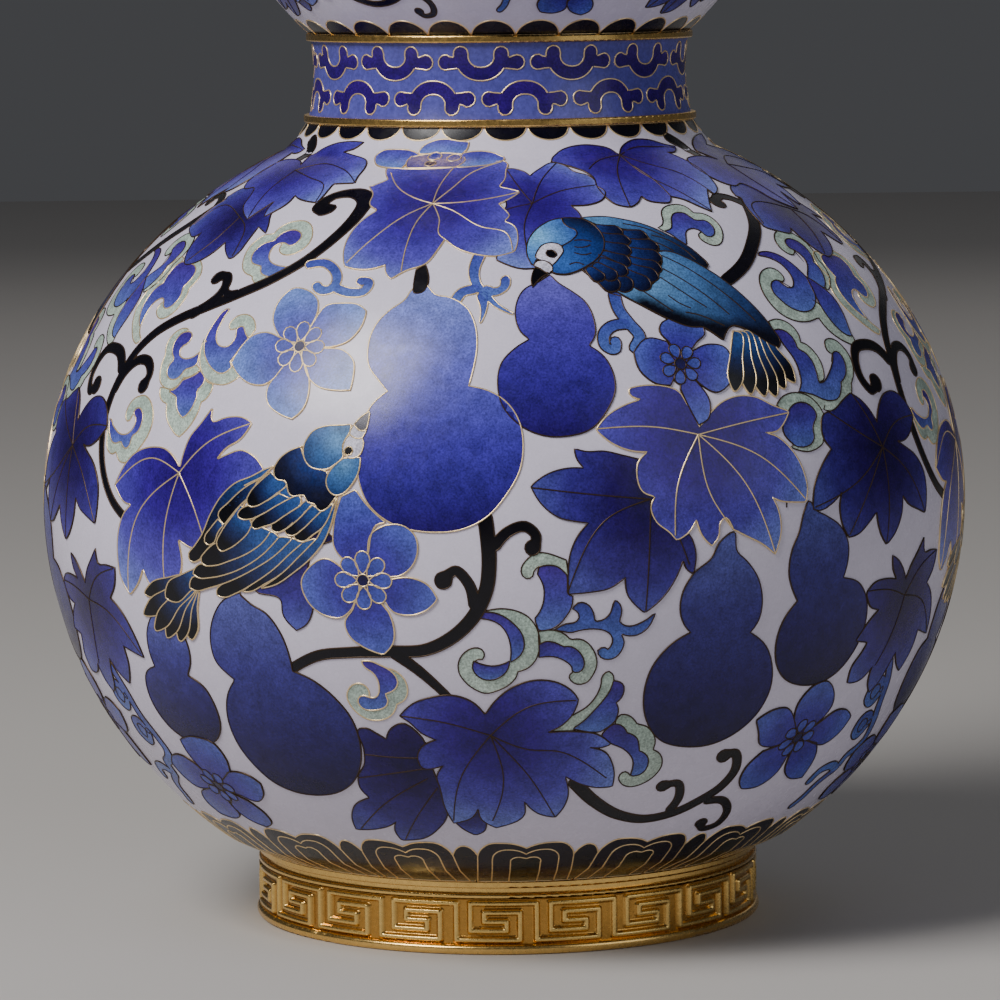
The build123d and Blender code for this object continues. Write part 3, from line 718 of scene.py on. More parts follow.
def draw_flowers(picture):
    """The open flowers, and one seen from the side."""
    add_flower(picture, -20, (-11.6, 41.5), (
        "-16.8,43.5* -19.5,48 -19,52 -16.2,55.2 -13,54.8 -10,52.5 -9.3,49 -9.4,48.2* -11.6,41.5*",
        "-9,48.8* -7.8,51 -4,51.8 -.5,51.5 1.5,50* 1,46 -1,43 -5,41.5* -11.6,41.5*",
        "-5,41.2* -2,41 1,38.5 1.5,35 1.3,32.3* -2,32.2 -6,33 -8,34.5 -8.8,35.5* -11.6,41.5*",
        "-8.2,35* -7.7,32 -8.5,28 -10.7,25.9* -14,27 -16.8,29 -17.4,32 -15.8,34.8* -11.6,41.5*",
        "-16,34.5* -18,33 -22,33 -25.5,35 -27.5,37.2* -26,40.5 -23.5,43.5 -20.5,44.4 -16.8,43.4* "
        "-11.6,41.5*"), "petal", 8, 5.7)
    add_flower(picture, 20, (5, 37), (
        "3,46.5* 2,45 3.5,42* 5,37* 10,42* 12,43.5 11.5,46 8,48", "3,42* -1,43 -4.5,40* -4,36 -1,33 "
        "2,32.5* 5,37*", "8,39.5* 12,41 16,40 17,37 16,33 12,30.5 8,33* 5,37*",
        "4,31.5* 5.5,27 6.8,24* 9,25 10,29 8.5,32* 5,37*"), "dark petal", 7, 4.6, "dark")
    add_flower(picture, -20, (6.1, -6.2), (
        "1.5,10.5* .1,5 .3,0 3,-2.8* 6.1,-6.2* 7.5,0 8,3 9,5 11,5.5* 6.5,9.5 4.5,12*",
        "11,5* 14.5,5 17,3 17.5,0 16,-3.5 13.5,-5.2 10,-5* 6.1,-6.2* 7.2,-.5 7.8,3",
        "11.5,-6* 16,-5.5 19.5,-7 21.2,-9.8* 19,-12 15,-13.2 12,-12.5 10,-9* 6.1,-6.2*",
        "11,-12.5* 11.8,-15 11.5,-19 9.2,-21.7* 5,-20 2.5,-18 1.7,-15 3.5,-12.5* 6.1,-6.2*",
        "2,-4* -2,-2 -5.5,-4 -7.2,-6.5 -6,-11 -3,-13.5 1,-14 3.5,-12* 6.1,-6.2*"), "dark petal", 8, 6.0)
    add_flower(picture, -60, (16.3, -59), (
        "14,-46.5* 13.7,-50 14.5,-53.5* 16.3,-59* 24.5,-53.5* 26,-50 25.5,-46.5 20,-45",
        "23.5,-54* 26.5,-53.5 30,-54.5 31.2,-56.2* 29,-60 25,-62.2 22,-61* 16.3,-59*",
        "22.5,-62.5* 24.2,-66 23.5,-69 20,-71.2* 16,-69 15,-65 17,-63* 16.3,-59*",
        "14.8,-65* 14.5,-68 11,-70 6,-69.5* 4.7,-66 6.5,-62.5 10,-61* 16.3,-59*",
        "11,-60.5* 6,-60.5 3.5,-57 3.2,-54.5* 6,-52 11,-51.5 14,-53.5* 16.3,-59*"),
        "dark petal", 7, 4.8, "dark")
    add_flower(picture, 60, (-25.8, -46), (
        "-30,-41* -31,-37 -29,-33.5 -25,-32.5 -21.5,-35 -19.7,-39 -21,-42* -25.8,-46*",
        "-20.5,-42.5* -17,-40.5 -13,-41 -10,-43* -11.5,-47 -15,-49.3 -19,-48.5* -25.8,-46*",
        "-18,-48.5* -15.5,-52 -14.5,-58.5* -19,-58 -23,-55 -24.8,-51* -25.8,-46*",
        "-25.5,-51.5* -25.5,-56 -27.5,-58.5 -32.5,-58.8* -35,-56 -35.8,-52 -34,-48.5* -25.8,-46*",
        "-32,-47.5* -36,-46.5 -38.5,-43 -40.8,-40* -38,-38 -34,-37.7 -30,-41* -25.8,-46*"),
        "dark petal", 7, 4.8, "dark")
    side_view = (
        ("-11.3,98.5 -10.3,99.7 -7,100.2 -3,99.8 -1,98.5 -2.8,95 -3.2,93* -6.8,93.2 -9.5,94.2 -11,96.5",
         "petal", 6),
        ("-1.5,99.2 -1,101 1,102.5 4,103 6.5,102.5 8.7,102.3* 8.8,100.5 8,99 5.5,98.6 2,99.2", "petal", 6),
        ("8,99 11,99.8 14.5,99.3 17.2,97.7* 17.5,96.3 16,95 12,93.8 8.5,93.6", "petal", 6),
        ("-2.8,98* 2,99.2 8,99* 9.5,96 8.5,93.5* -2,93* -3,95.5", "violet", 6.2),
    )
    for outline, paint, layer in side_view:
        picture.cell("flowers", -20, closed(outline), paint, layer)
    for x, s in ((2.5, 98), (6.8, 97.5)):
        picture.cell("flowers", -20, disc(x, s, 1.5), "stamen", 6.5)
    picture.cell("flowers", -20, disc(2.5, 95, 1.2), "core", 6.5)


def draw_left_bird(picture):
    """The bird that looks up: folded wing, scalloped mantle and a tail to the lower left."""
    parts = (
        ("plume", (0, 16), "0,16.2* -2.3,15.3 -5,13.9 -9,12.3 -12.3,9.5 -15,5.6 -17.3,1.2 -19.2,-1 "
                           "-21,-3.1 -20.6,-4.2 -17.8,-3.7* -16.3,-2 -14,-.3 -12,0* -9,6 -3,13.5"),
        ("plume", (2, 12), "-.7,14.8* -2.8,13.6 -6.7,11.4 -10.3,8.4 -12.9,5.6 -12.4,4.6 -11.3,3.7* "
                           "-9.5,5.8 -7,8.3 -5.6,9.5 -3,13.5"),
        ("plume", (-10, 5), "-13,4.8* -15,2.7 -16.4,1 -16.4,-.2 -15.5,-.6 -13.6,.3* -13,2 -11.4,3.7*"),
        ("plume", (12, 4), "14.5,10.4* 14.2,8 13.4,4.8 11.9,1.4 9.1,-1.9 4.9,-5.2 .5,-7.9 -3,-8.8* "
                           "2.2,-5.5 6.3,-1.9 10.4,2* 11.6,4.2 13.3,7.3"),
        ("plume", (9, 1), "10.4,2* 6.3,-1.9 2.2,-5.5 -2,-7.9 -5.5,-9.6 -7.5,-9.7* -4.8,-8 .8,-4.4 "
                          "4.4,-1.3 7.4,1.1"),
        ("plume", (6, 1), "7.4,1.1* 4.4,-1.3 .8,-4.4 -4.8,-8 -8.9,-10.1 -12.6,-11.2 -13.9,-10.8 "
                          "-13.9,-9.9 -12,-8.3* -10.3,-7.7 -4.8,-5.2 .8,-1.9 5,1.8"),
        ("plume", (4, 1.5), "5,1.8* .8,-1.9 -4.8,-5.2 -10.3,-7.7 -15.9,-9.5 -19.8,-10.3 -21.1,-9.8 "
                            "-21,-8.8 -19.9,-7.3* -15.3,-7.3 -10.3,-6.1 -6.2,-4.4 -2,-1.8 1.9,1.9"),
        ("plume", (1.5, 2), "1.9,1.9* -2,-1.8 -6.2,-4.4 -10.3,-6.1 -15.3,-7.3 -18.7,-7.5 -19.9,-6.8 "
                            "-19.4,-5.7 -17.6,-4.5* -14.5,-4.7 -10.3,-3.6 -4.8,-1.3 -2,.6 0,3"),
        ("plume", (0, 3), "0,3* -2,.6 -4.8,-1.3 -10.3,-3.6 -14.5,-4.8 -17,-4.7 -17.6,-3.7 -16.2,-1.9 "
                          "-13.9,-.2* -12,0 -8,3 -4,4"),
        ("plume", (-6, 6), "-7.3,8* -9.4,5.5 -12.1,2.2 -13.3,-.2 -12.3,-1.7 -10.3,-1.1 -7.6,.5 -5,3.1 "
                           "-4.6,4.2 -5.5,6"),
        ("plume", (12, 8), "11.2,7.4* 9.9,6.2 7.2,3.7 5.2,2.2 6.3,1.3 7.4,1.2 9.1,2.4 11.6,4.2 13.3,7.3 "
                           "13.9,9.5* 12.4,8"),
        ("plume", (10.5, 8), "9.1,8.7* 5.8,5.3 3.2,3.4 3.8,2.4 4.9,2.3 7.2,3.7 9.9,6.2 11.2,7.4* 10.2,8.1"),
        ("plume", (8.5, 9), "6.6,8.4* 3,6.2 .2,4.5 .2,3.4 1.1,2.8 3,3.4 5.8,5.3 9.1,8.7* 7.9,9.5"),
        ("plume", (6, 10), "4.4,9.9* 1,8.1 -2,6.4 -4,5.2 -4.7,3.9 -4,3.3 -2,3.8 .5,4.6 3,6.2 6.6,8.4* "
                           "6.5,10.3"),
        ("plume", (3, 11), "1.3,10.8* -1.5,8.9 -4,7.8 -5.6,7.9 -7.6,6.8 -8.1,5.8 -7.3,5.2 -5.1,5.2 "
                           "-2,6.4 1,8.1 4.4,9.9* 3.6,12"),
        ("plume", (1.5, 13), "-.6,14.9* -3.1,12.8 -5.2,10.6 -5.9,8.9 -5.4,7.8 -4,7.8 -1.5,8.9 1.3,10.8* "
                             "3.2,12.8 2.5,13.3 .4,14"),
        ("mantle", (10, 19), "5.6,20.3* 2.9,19.2 .8,17.3 0,15.3 .4,13.9 1.3,13.4 3,13.2 3.4,12 3.8,10.9 "
                             "4.8,10.2 6.3,10.5 7.3,10.5 7.9,9.5 8.6,8.9 9.5,9.1 10.2,8.1 11.2,7.4 "
                             "12.4,8 13.6,9.5 14.4,10.5* 12.7,11.7 11.9,13.7 12.2,15.1 10.2,15.9 "
                             "7.7,16.7 6.3,18.7"),
        ("crown", (14, 22), "6.2,20.1 6.6,21.7 8,23.7 10.2,24.6 13.3,24.9 15.8,25.1* 15.9,23.7 15.2,22.3 "
                          "14.7,20.9 14.8,19.8 15.2,18.4* 13.6,17 11.9,15.9 10.2,15.8 8,16.4 6.6,18.1"),
        ("crown", (15.5, 17), "15.2,18.2* 12.7,15.8 11.9,13.9 12.4,12 14.1,10.7 15.5,11 17.2,12.6 "
                            "18.6,15.3 18.8,18.4* 17.4,18.4"),
        ("white", None, "16.1,23.1 14.9,21.4 14.8,20.1 15.5,18.7 16.9,18.2 18.3,18.7 19,20.1 18.6,22.3 "
                        "17.4,22.2"),
        ("white", None, "15.9,23.1* 17.2,22.3 18.6,22.3* 19.3,23.9* 18,23.8 16.5,25.1* 15.9,23.9"),
        ("beak", None, "16.5,25.1* 17.4,26.4 19.4,28* 19.4,25.9 19.3,23.9* 18,23.9"),
    )
    tail = ((-19, -7, -35.3, -12.3, 3.2), (-20, -8, -36.4, -16.9, 3.4), (-20, -8, -22.6, -21.2, 3.6),
            (-20, -8, -26, -21.8, 3.4), (-20, -8, -29.8, -21.3, 3.4), (-20, -8, -33.3, -20, 3.4),
            (-17, -6, -28.5, -12.5, 4.4))
    add_feathers(picture, -28, tail, "plume", 6.1)
    for number, (paint, hub, outline) in enumerate(parts):
        picture.cell("birds", -28, closed(outline, 0.6), paint, 6.8 + 0.06 * number, hub=hub)
    picture.cell("birds", -28, disc(16.1, 19.7, 0.95, 14), "black", 8.6)
    for line in ("5.6,20.3 6.2,20.5", "-2.4,13.9 -6.7,11.9", "1.9,10.9 -1,9.1"):
        picture.line(-28, line, 7.9)


def draw_right_bird(picture):
    """The bird that looks down: scaled mantle, long wing and fanned tail."""
    tail = ((20, 43.5, 27, 31.4, 3.2), (19, 43.5, 24, 30.2, 3.4), (18, 43.5, 21.3, 28.7, 3.4),
            (17, 43.5, 18.4, 28.9, 3.4), (16, 43.5, 15, 29.6, 3.4), (15, 43.5, 11.3, 30.4, 3.3))
    add_feathers(picture, 23, tail, "plume", 6.2)
    wings = (
        ("far wing", (-8, 74), "-10.2,74.8* -4.8,74.9 -1.7,74 1.3,72.8 4.3,71 6.8,68.9 10.4,65.4* "
                               "12.2,62.8 13.4,59.8 12.5,59.3* 10.1,61.3 7.4,63.1 4.3,64.3 2.8,64.3* "
                               "0,66 -4,70 -7,72"),
        ("near wing", (-3, 58), "2,64* 5.2,64.2 8.9,62.2 12.8,58.9 16.5,55.2 20.1,50.7 22.5,47.1 "
                                "24.3,43.7 25.5,40.4 24.9,39.2* 23,40 20.7,41.6* 18,43.6 14,44.8 "
                                "12.5,43.5 11.3,41.7* 9,43.8 7.4,45* 4.3,45.2 1.3,46.5 -1.7,48.4 "
                                "-4.8,50.7 -7.2,52.5 -9.6,54.6* -5,57 -1,60"),
        ("plume", (-12, 68), "-10.5,74.5* -8.7,73.1 -7.8,72.4 -5.1,72.1 -3.2,71.3 -2,70.8 .1,70.5 "
                             "1.6,69.5 2.5,67.4 3.6,65.2 2.8,63.7 3.1,61.6 1.9,59.8 1,57.7 .1,56.6 "
                             "-1.3,55.5 -2.3,54.3 -4.8,54.9 -5.7,55.5 -7.2,54.3 -9.6,54.6 -11.4,56.6 "
                             "-13.2,58 -14.8,60.2* -12.9,61.3 -10.8,62.8 -8.7,65.2"),
    )
    for number, (paint, hub, outline) in enumerate(wings):
        soot = ("-4,50 1,47 6,45 11,43.5 19.5,42 24,39.5", 2.9) if paint == "near wing" else None
        picture.cell("birds", 23, closed(outline, 0.6), paint, 6.9 + 0.1 * number, hub=hub,
                     wire="dark", soot=soot)
    for line in ("3.1,68.9 5.8,67.7 8.9,64.9 11,61.6", "-2,72.6 2,71.2 6,68.4", "1,67.8 4,66.4 6.6,64.2"):
        picture.line(23, line, 6.92, "dark")
    for line in ("3.4,63.1 7.4,60.1 11.9,55.8 16.5,50.7 20.5,45.6", "2.5,59.6 5.8,56.8 10.4,52.2 14.4,47.5",
                 "1.2,57.4 4.3,54.3 7.4,51.3 9.5,49.5", "1.6,52.8 3.7,50.7 5.8,49.5",
                 "-3.8,54.3 -1.1,51.6 1.6,48.9", "4.3,48.6 7.4,47.7 11,45.8 12.5,44.9"):
        picture.line(23, line, 7.02, "dark")
    add_feathers(picture, 23, (
        (-4, 69.5, 2.2, 68.5, 3.4), (-4, 67, 3.7, 65.5, 3.4), (-4, 64.5, 3.3, 62.3, 3.6),
        (-5, 62, 2.3, 59.3, 3.6), (-6, 60.5, .9, 57.2, 3.6), (-7.5, 59.5, -1.6, 54.8, 4.0),
        (-10, 59, -5.8, 54.6, 4.2), (-12.5, 59.5, -8.7, 54.6, 4.0),
        (-9, 71.5, -2.8, 70, 3.2), (-9, 69, -2, 67.3, 3.2), (-9, 66.5, -2.8, 64.4, 3.4),
        (-9.5, 64, -4, 61.2, 3.4), (-10.5, 62.3, -5.5, 58.6, 3.4), (-12, 61.3, -8.3, 57.3, 3.4),
        (-13.5, 60.5, -11.3, 57, 3.0)), "scale", 7.15, "dark")
    head = (
        ("nape", (-18, 63), "-14.3,74.8* -12.6,74.8 -10.5,74.5 -8.7,73.1 -7.8,71 -7.6,68.3 -8.7,65.2 "
                            "-10.8,62.8 -12.9,61.3 -14.8,60.2 -16.9,59.3 -18.7,58.9 -21,59.3* -20.7,61 "
                            "-19,63.1 -17.5,64.9 -16.9,66.6* -14.2,68.3 -12.8,69.8 -12.6,71 -13.8,71.9 "
                            "-14.5,73.4"),
        ("sky", (-22, 70), "-24.6,61.6* -24.8,64 -23.8,67.4 -21.7,70.4 -19,72.8 -16.3,74.3 -14.3,74.8* "
                           "-14.5,73.4 -13.8,71.9 -12.6,71 -12.8,69.8 -14.2,68.3 -16.9,66.6* -18.7,67.5 "
                           "-20.5,67.1 -22.2,65.5 -23.2,63.1 -24.5,61.3*"),
        ("white", None, "-23.2,63.1 -22.2,65.5 -20.5,67.1 -18.7,67.5 -17.3,66.9 -17,65.5 -18.4,63.4 "
                        "-20.5,61.3* -21.1,62.2 -22.3,62.7"),
        ("white", None, "-24.3,61.3 -23.2,62.5 -22,62.7 -20.8,61.6 -20.7,60.1 -21.4,59.5 -22.6,59.2 "
                        "-22.8,60.1 -23.5,60.7"),
        ("black", None, "-24.2,60.8* -23.1,60.4 -22.6,59.6 -21.7,59.3* -23.5,58.3 -25.1,56.8 "
                        "-26.1,55.8* -25.7,58"),
    )
    for number, (paint, hub, outline) in enumerate(head):
        picture.cell("birds", 23, closed(outline, 0.6), paint, 8.4 + 0.1 * number, hub=hub, wire="dark")
    picture.cell("birds", 23, disc(-19.8, 64.4, 1.1, 14), "black", 9.0, wire="dark")
    for line in ("-14.5,66.2 -12.5,66 -11,66.6", "-15,64.6 -13,63.9 -11.5,64.4",
                 "-17,61.4 -15,61.9 -14,61.2", "-14,68 -12,68.1 -10.5,67.6"):
        picture.line(23, line, 8.45, "dark")


def draw_vines(picture):
    """The black vines and their tendrils, as tapering brush lines."""
    add_strokes(picture, "vines", -60, "vine", 2, (
        ("29.3,77.5 26.3,79 26.5,82 30,83.5 35,81.5 38,76 38.7,69 37,62.5 33,57.5 26.5,53 20,49.5 "
         "14,46.5 8,42.5 4,37.5 2,32 1,25 2.5,17 5.5,11 10,6 15,3", 3.2, 1.8, 0, 1.8),
        ("17.5,48 20.3,50.5 21.6,53 21.3,55.8 19.4,57.6 17.4,57", 2.8, 1.9, 1.7),
        ("26,53.4 23.4,53.3 21.8,55.2", 1.8, 1.0),
        ("1.7,29.5 3.6,33.6 7.2,36.3 10.8,36 13,33.4 12.3,30.8", 2.4, 1.9, 1.7),
        ("1,34 -2,37 -6,38 -10,37.5 -12.5,34 -12.8,31 -10.5,28 -8,29.5", 2.6, 1.8, 2)), "dark")
    add_strokes(picture, "vines", 60, "vine", 2, (
        ("-4.5,102 -1,98.5 -.8,97 -1.8,92 -4,85 -8,78 -14,70 -20,65 -27,60 -35,56", 2.8, 2.4),
        ("-9.5,77 -12,79.5 -15,80 -17,78", 2.2, 1.8, 1.8)), "dark")
    add_strokes(picture, "vines", -20, "vine", 2, (
        ("31,6.5 31.5,3 31.8,-2 31,-8 28.5,-13 24,-17.5 18,-20.5 11,-21 2,-21.5 -5,-22.5 -11,-25.5",
         2.9, 2.0),
        ("33,1 36,4 39,4.8 41.3,2.5 40.5,.5", 2.2, 1.8, 1.6),
        ("28.5,-11 27.5,-6.5 25,-4 22.5,-6", 2.2, 1.8, 1.8), ("11,-21 16,-25 21,-30.5", 2.4, 1.6)),
        "dark")
    add_strokes(picture, "vines", 20, "vine", 2, (
        ("-15.5,-53 -10,-59 -4,-63.5 2,-65.5 8,-64.5 14,-61 18.5,-57 20.5,-52 19,-48 16.5,-48.5",
         2.6, 2.0, 1.7),
        ("7.5,-63 8.5,-59 7,-55 4,-55.5", 2.0, 1.6, 1.5),
        ("16,-61.5 20,-62 22.5,-66 21,-70.5 17.5,-71 16.8,-69", 2.0, 1.6, 1.5)), "dark")


def draw_clouds(picture):
    """The scroll clouds: on the left, on the right, then below."""
    add_cloud(picture, -42, (
        "9.8,60.7* 7.7,60.9 5.7,61.4 3.9,62.5 2.9,64.1 2.7,65.7 3.4,66.9 4.5,67.3* 5.5,67.1 "
        "6.4,66.5* 7.5,66.6 8.3,68 8,69.5 6.6,70.7 4.5,71.1 3,70.6 2,69.3 1.8,67.7* .5,67.3 "
        "-1,66.3 -1.7,64.6 -1.5,63 -.5,61.6 1.7,60.8* 3,60.5 3.6,59.1 5,58.3 7.3,57.9* 8.9,59.3",), (
        "4.2,56* 2.7,57 2,58* .5,58.3 -1.4,59.3 -2.7,60.9 -3.6,63 -4,65.5 -3.5,67.3 -2.4,69.1* "
        "-1.1,69.5 .2,69.6* .4,71.1 1.6,72.9 3.6,73.8 5.9,73.9 8.2,72.8 10,70.7 11.1,68.4 "
        "11.1,66.4 10,64.8 8.2,63.9 6.4,64.1 5,65 4.5,66.4 4.5,67.2* 6.6,67.8 7,69 5,69.8 3.2,69 "
        "2.8,67* 1,65.5 1.2,63 3.2,61.3 6.5,59.5 6.1,57.7*",))
    add_cloud(picture, -57, (
        "-5.4,59 -5.9,57.3 -5.7,55.7 -5.4,54.4* -7.1,53.1 -8,51.2 -8.1,49.3 -7.5,47.3 -6.2,45.4 "
        "-4.8,44.1 -3.8,43.4* -4.3,45.4 -4.4,47.3 -3.9,49.4 -2.6,50.5 -1.2,50.8 -.1,50.1* .7,49.1 "
        "2.1,48.4 3.7,48.9 4.7,50.1 5,51.5 4.4,52.9 3.7,54* 4.3,55.1 4.7,56.8 4.1,58.4 2.8,59.4 "
        "1.3,59.9 -.7,60 -2.9,60.4 -4.6,60",), (
        "-5.7,61.5* -7.1,60.7 -8.2,59.3 -8.7,57.6 -8.4,55.9 -7.8,54.4* -9.4,53.4 -10.5,51.8 "
        "-10.8,49.8 -10.6,47.9 -9.6,45.9 -7.9,43.7 -5.9,41.8 -3.7,40.2 -1.9,39.6* -.8,40.7* "
        "-2.1,41.6 -3.2,42.6 -3.8,43.4* -5.2,45.5 -6.8,48 -7,51 -5.8,53 -4.4,54.5 -4.6,57 "
        "-4.2,59.5 -4.5,61.5*",
        "3.2,60.9* 4.9,59.8 6.3,58.4 7,56.8 6.8,55.1 6.2,53.7* 6.8,52.6 7.1,50.9 6.7,49 5.7,47.3 "
        "4.3,46.3 2.7,45.9 1,46.3 -.4,47.3 -1.1,48.4 -.8,49.4 0,50.1* 1.2,50 2.6,49.6 3.6,50.6 "
        "3.7,52 2.6,54 3.4,56 3,58.2 1.5,59.4 1,61*",))
    add_cloud(picture, -42, (
        "-9.1,43.5 -7.7,43.6 -6.7,42.8 -6.6,41.9 -7,40.9 -8,40.5 -8.6,39.9 -8.7,39.1 -8.1,38 "
        "-6.6,37.5 -5,37.6 -3.9,38 -2.7,39.1* -2.2,37.8 -2,36.7 -2.5,36* -4.1,35.4 -5.1,35.2* "
        "-5.5,34.2 -6.4,33.1 -8,32.7 -9.3,33 -10.4,34 -10.7,35.1 -10.2,36.2 -9.5,37.2* -10.7,38.3 "
        "-11.4,39.6 -11.5,40.8 -10.9,42.4 -10.1,43.3",
        "-.5,35.1* .7,34.3 1.6,33.3 1.6,32.5 .9,31.5 .2,30.8* .7,29.6 .5,28 -.1,26.5 -.9,25.5 "
        "-1.7,24.8* -3,25.5 -4.3,26.8 -5,28.3 -5.2,29.2* -6.4,29.6 -8.1,30.2* -6.4,30.7 -5.4,31.7 "
        "-4.8,32.8* -3.2,33.4 -1.4,34.3",
        "-.2,49.4* .9,49.6* .5,48.3 .2,46.5 .1,44.2 .7,42.4 1.8,41.2 3.4,40.7 4.8,40.9 5.5,41.7 "
        "5.8,42.8 5.5,44.1 5,44.9* 5.8,45.6 6.7,45.5 7.5,44.6 8.5,43.5 9.3,42.9* 8.5,41.5 "
        "7.8,39.9 7.3,38.5 6.7,37.4* 7.8,36.5* 6.9,35.3 5.7,34.8 4.3,35 2.5,35.8 .7,37.1 -.7,38.5 "
        "-1.7,40.1 -2.3,41.9 -2.2,44.2 -1.6,46.7 -1,48.5",), (
        "-8.6,44.1* -10.2,44.3 -11.8,43.7 -13.2,42.4 -13.8,40.5 -13.5,39.1 -12.9,38* -13.1,36.5 "
        "-13,35.1 -12.5,33.5 -11.4,31.7 -10,31 -8.2,30.6 -6.6,31 -5.4,32 -4.8,33.3* -3.4,33.5 "
        "-1.8,34.3 -.5,35.2* -2.8,36.8* -7,35.5 -8.8,37 -9.8,40 -9.5,42.5",
        "-11.1,30.9* -10.7,29.4 -9.8,28.3 -8.6,27.7 -7.6,27.6* -7.3,26 -6.4,24.2 -4.5,22.4 "
        "-3,21.3 -1.7,20.9* -.5,21.9 1,23.7 1.9,25.5 2.3,27.1 2.2,28.4* 3.3,29 4.1,30.3 4.4,31.7 "
        "4.2,32.5* 2.7,32.7 1.4,33.5* -1,32.5 -3.5,31 -6,30.2 -8.5,30.7",
        "-2.7,42.1* -2.6,40.1 -1.9,37.8 -.5,35.5 1.4,33.7 3.2,32.8 5.5,32.4 7.5,32.5 9.2,33.3 "
        "10.5,34.4* 9.1,35.8 7.8,36.5* 5,36.5 2.5,37.5 .5,39.5 -1,42",
        "3,46.9 3.6,47.8 5.2,48.4 6.8,48.3 8.2,47.6 9.3,46.5 10.1,45* 9.5,43.2* 8,43.3 6.8,44.6 "
        "5.8,44.8* 4.8,45.1 4.2,44.7 3.4,44.7 2.7,45.5 2.6,46.2",))
    add_cloud(picture, -57, (
        "-1.7,23* -.8,22.8 .2,21.8 1.7,21 3.3,20.3 5.3,20.1 7,20.5 8.2,21.5 8.7,22.8 8.2,24 "
        "6.9,24.7* 7.3,25.7 8.5,26.1 9.8,25.5 10.8,24 10.8,22.3 10.2,21 8.7,20.2* 8.5,19.3 "
        "8.4,18.2 7.7,17.4 6.5,17.4 5.5,18 5.1,18.5* 4.3,18.5 3.3,18.1 2.2,18.1 1,18.5 .2,19.3 "
        "-.7,20.3 -1.3,21.7",), (
        "-1.8,21* -1,18.7 -.3,17 .7,16.2 2.3,15.8 3.7,16.3* 4.3,15.7 5.3,14.7 7,14.3 8.7,14.7 "
        "10,15.7 12.3,18.1 13.9,20.5 14.4,22.8 13.9,25.1 12.5,27 10.5,28.4 8.8,28.8 7.3,28.5 "
        "5.7,27.8 4.7,26.7 4.2,25 4.5,23.7 5.3,22.9 6.3,23.2 6.9,24.7* 8.3,25.2 9.8,24 9.6,22 "
        "8.3,20.7 7.4,18.6 5.5,19.1 3.5,19.2 1.5,19.6 -.3,21.3*",))
    add_cloud(picture, 50, (
        "-7.9,61.8* -7.3,62.6* -5.5,62.8 -3.5,62.4 -1.5,61.3 .3,59.1 1.3,57.1 2,55.3* 1.8,53.5 "
        "1.1,50.5 -.5,48.5 -2.5,47.3 -4.8,46.9 -7,47.3 -9,48.5 -10.4,50.5 -11,52.3 -10.5,53.8 "
        "-9.3,54.9 -7.5,55.2* -7,54.2 -6.4,53.3 -5.1,52.9 -3.8,53.4 -2.8,55 -2.5,57 -3,58.9 "
        "-4.3,60.3 -6,61.3",
        "2.1,55.3* 3.8,53.9 5.6,51.9 6.8,50.4 7.4,48 7.3,45 6.7,42 6.5,40.2* 4.8,40.6 3,42 1.8,44 "
        "1.1,46.5 1,48.8 1.3,51 1.7,53.3",
        "3.3,56.1* 4.5,57.2 5.5,58.4 5.9,60 5.5,61.4 4.5,62.5 3.8,62.9* 3.3,64 4,65.2 5.5,65.7 "
        "7.5,65.2 9,63.9 9.6,62.2 9.4,60.4 8.4,58.8* 8.9,57.4 8.7,55.5 7.6,53.5 6,51.9* 4,53.6 "
        "2.5,55.1*",), (
        "-7.4,55.1* -6.4,54.5 -5.5,55 -5.1,56.4 -5.9,57.9 -7.5,58.4 -9.5,58 -11.5,56.8 -13,54.8 "
        "-13.8,52.3 -13.7,50 -12.8,47.5 -11,45.8 -8.8,44.9 -6,44.6 -3.5,44.9 -1.8,45.3* -1.5,43.9 "
        "-.5,42 1.3,40.3 3.5,39 6,38.4 6.8,39.3 6.8,40.4* 4.5,42 2.5,45.5 0,49.5* -4,48.7 -8,50 "
        "-9.3,52.5 -8.6,54",
        "4.4,62.4* 3.8,61.5 2.5,61.2 1.3,61.9 .5,63.3 .6,65 1.8,66.8 3.5,67.9 5.5,68.2 8,67.6 "
        "10,66 11.3,63.8 11.5,61.5 10.8,59.4* 11.2,57.5 10.9,55.5 9.5,53.3 8,52 6.6,51.4* "
        "6.2,52.5* 7.5,55 7.3,58.6 8,61 7,63.5 5,64.3",))
    add_cloud(picture, 30, (
        "-2,70.1* .2,71 .8,72 1.3,73.3 2,74.5 3,75.4 4.3,75.6 5.7,75.2 6.3,74.2 7.1,72.9* 8,72.8 "
        "9.3,72.8 10.3,72 10.7,70.7 10.4,69.3 9.7,68.3 8.5,67.8 7.7,68 7.2,68.7* 6.8,69.7 "
        "6.2,70.2 5,70.5 3.8,70.2 2.8,69.2 2.2,67.7 1.5,65.8* .3,67.3 -1,69.3",), (
        "-2.9,71.2* -1.3,72.2 -.7,73.3 0,75.5 1,77 2.3,77.8 4,78.2 6,78 7.2,77.2 7.7,76.2 8,75.1* "
        "9.3,75.1 10.7,74.6 11.7,73.7 12.4,72.3 12.7,70.7 12.4,69 11.5,67.2 10.2,65.8 8.7,65.3 "
        "7.3,65.6 6.2,66.5 5.5,67.8 5.9,68.8 6.8,69.4* 7.9,69 9.3,69.3 9.6,70.8 8.6,71.8 6.6,71.9 "
        "5.3,73.8 4,74.5 2.5,73 1.5,70.8 -.5,69.6 -2,70.1*",))
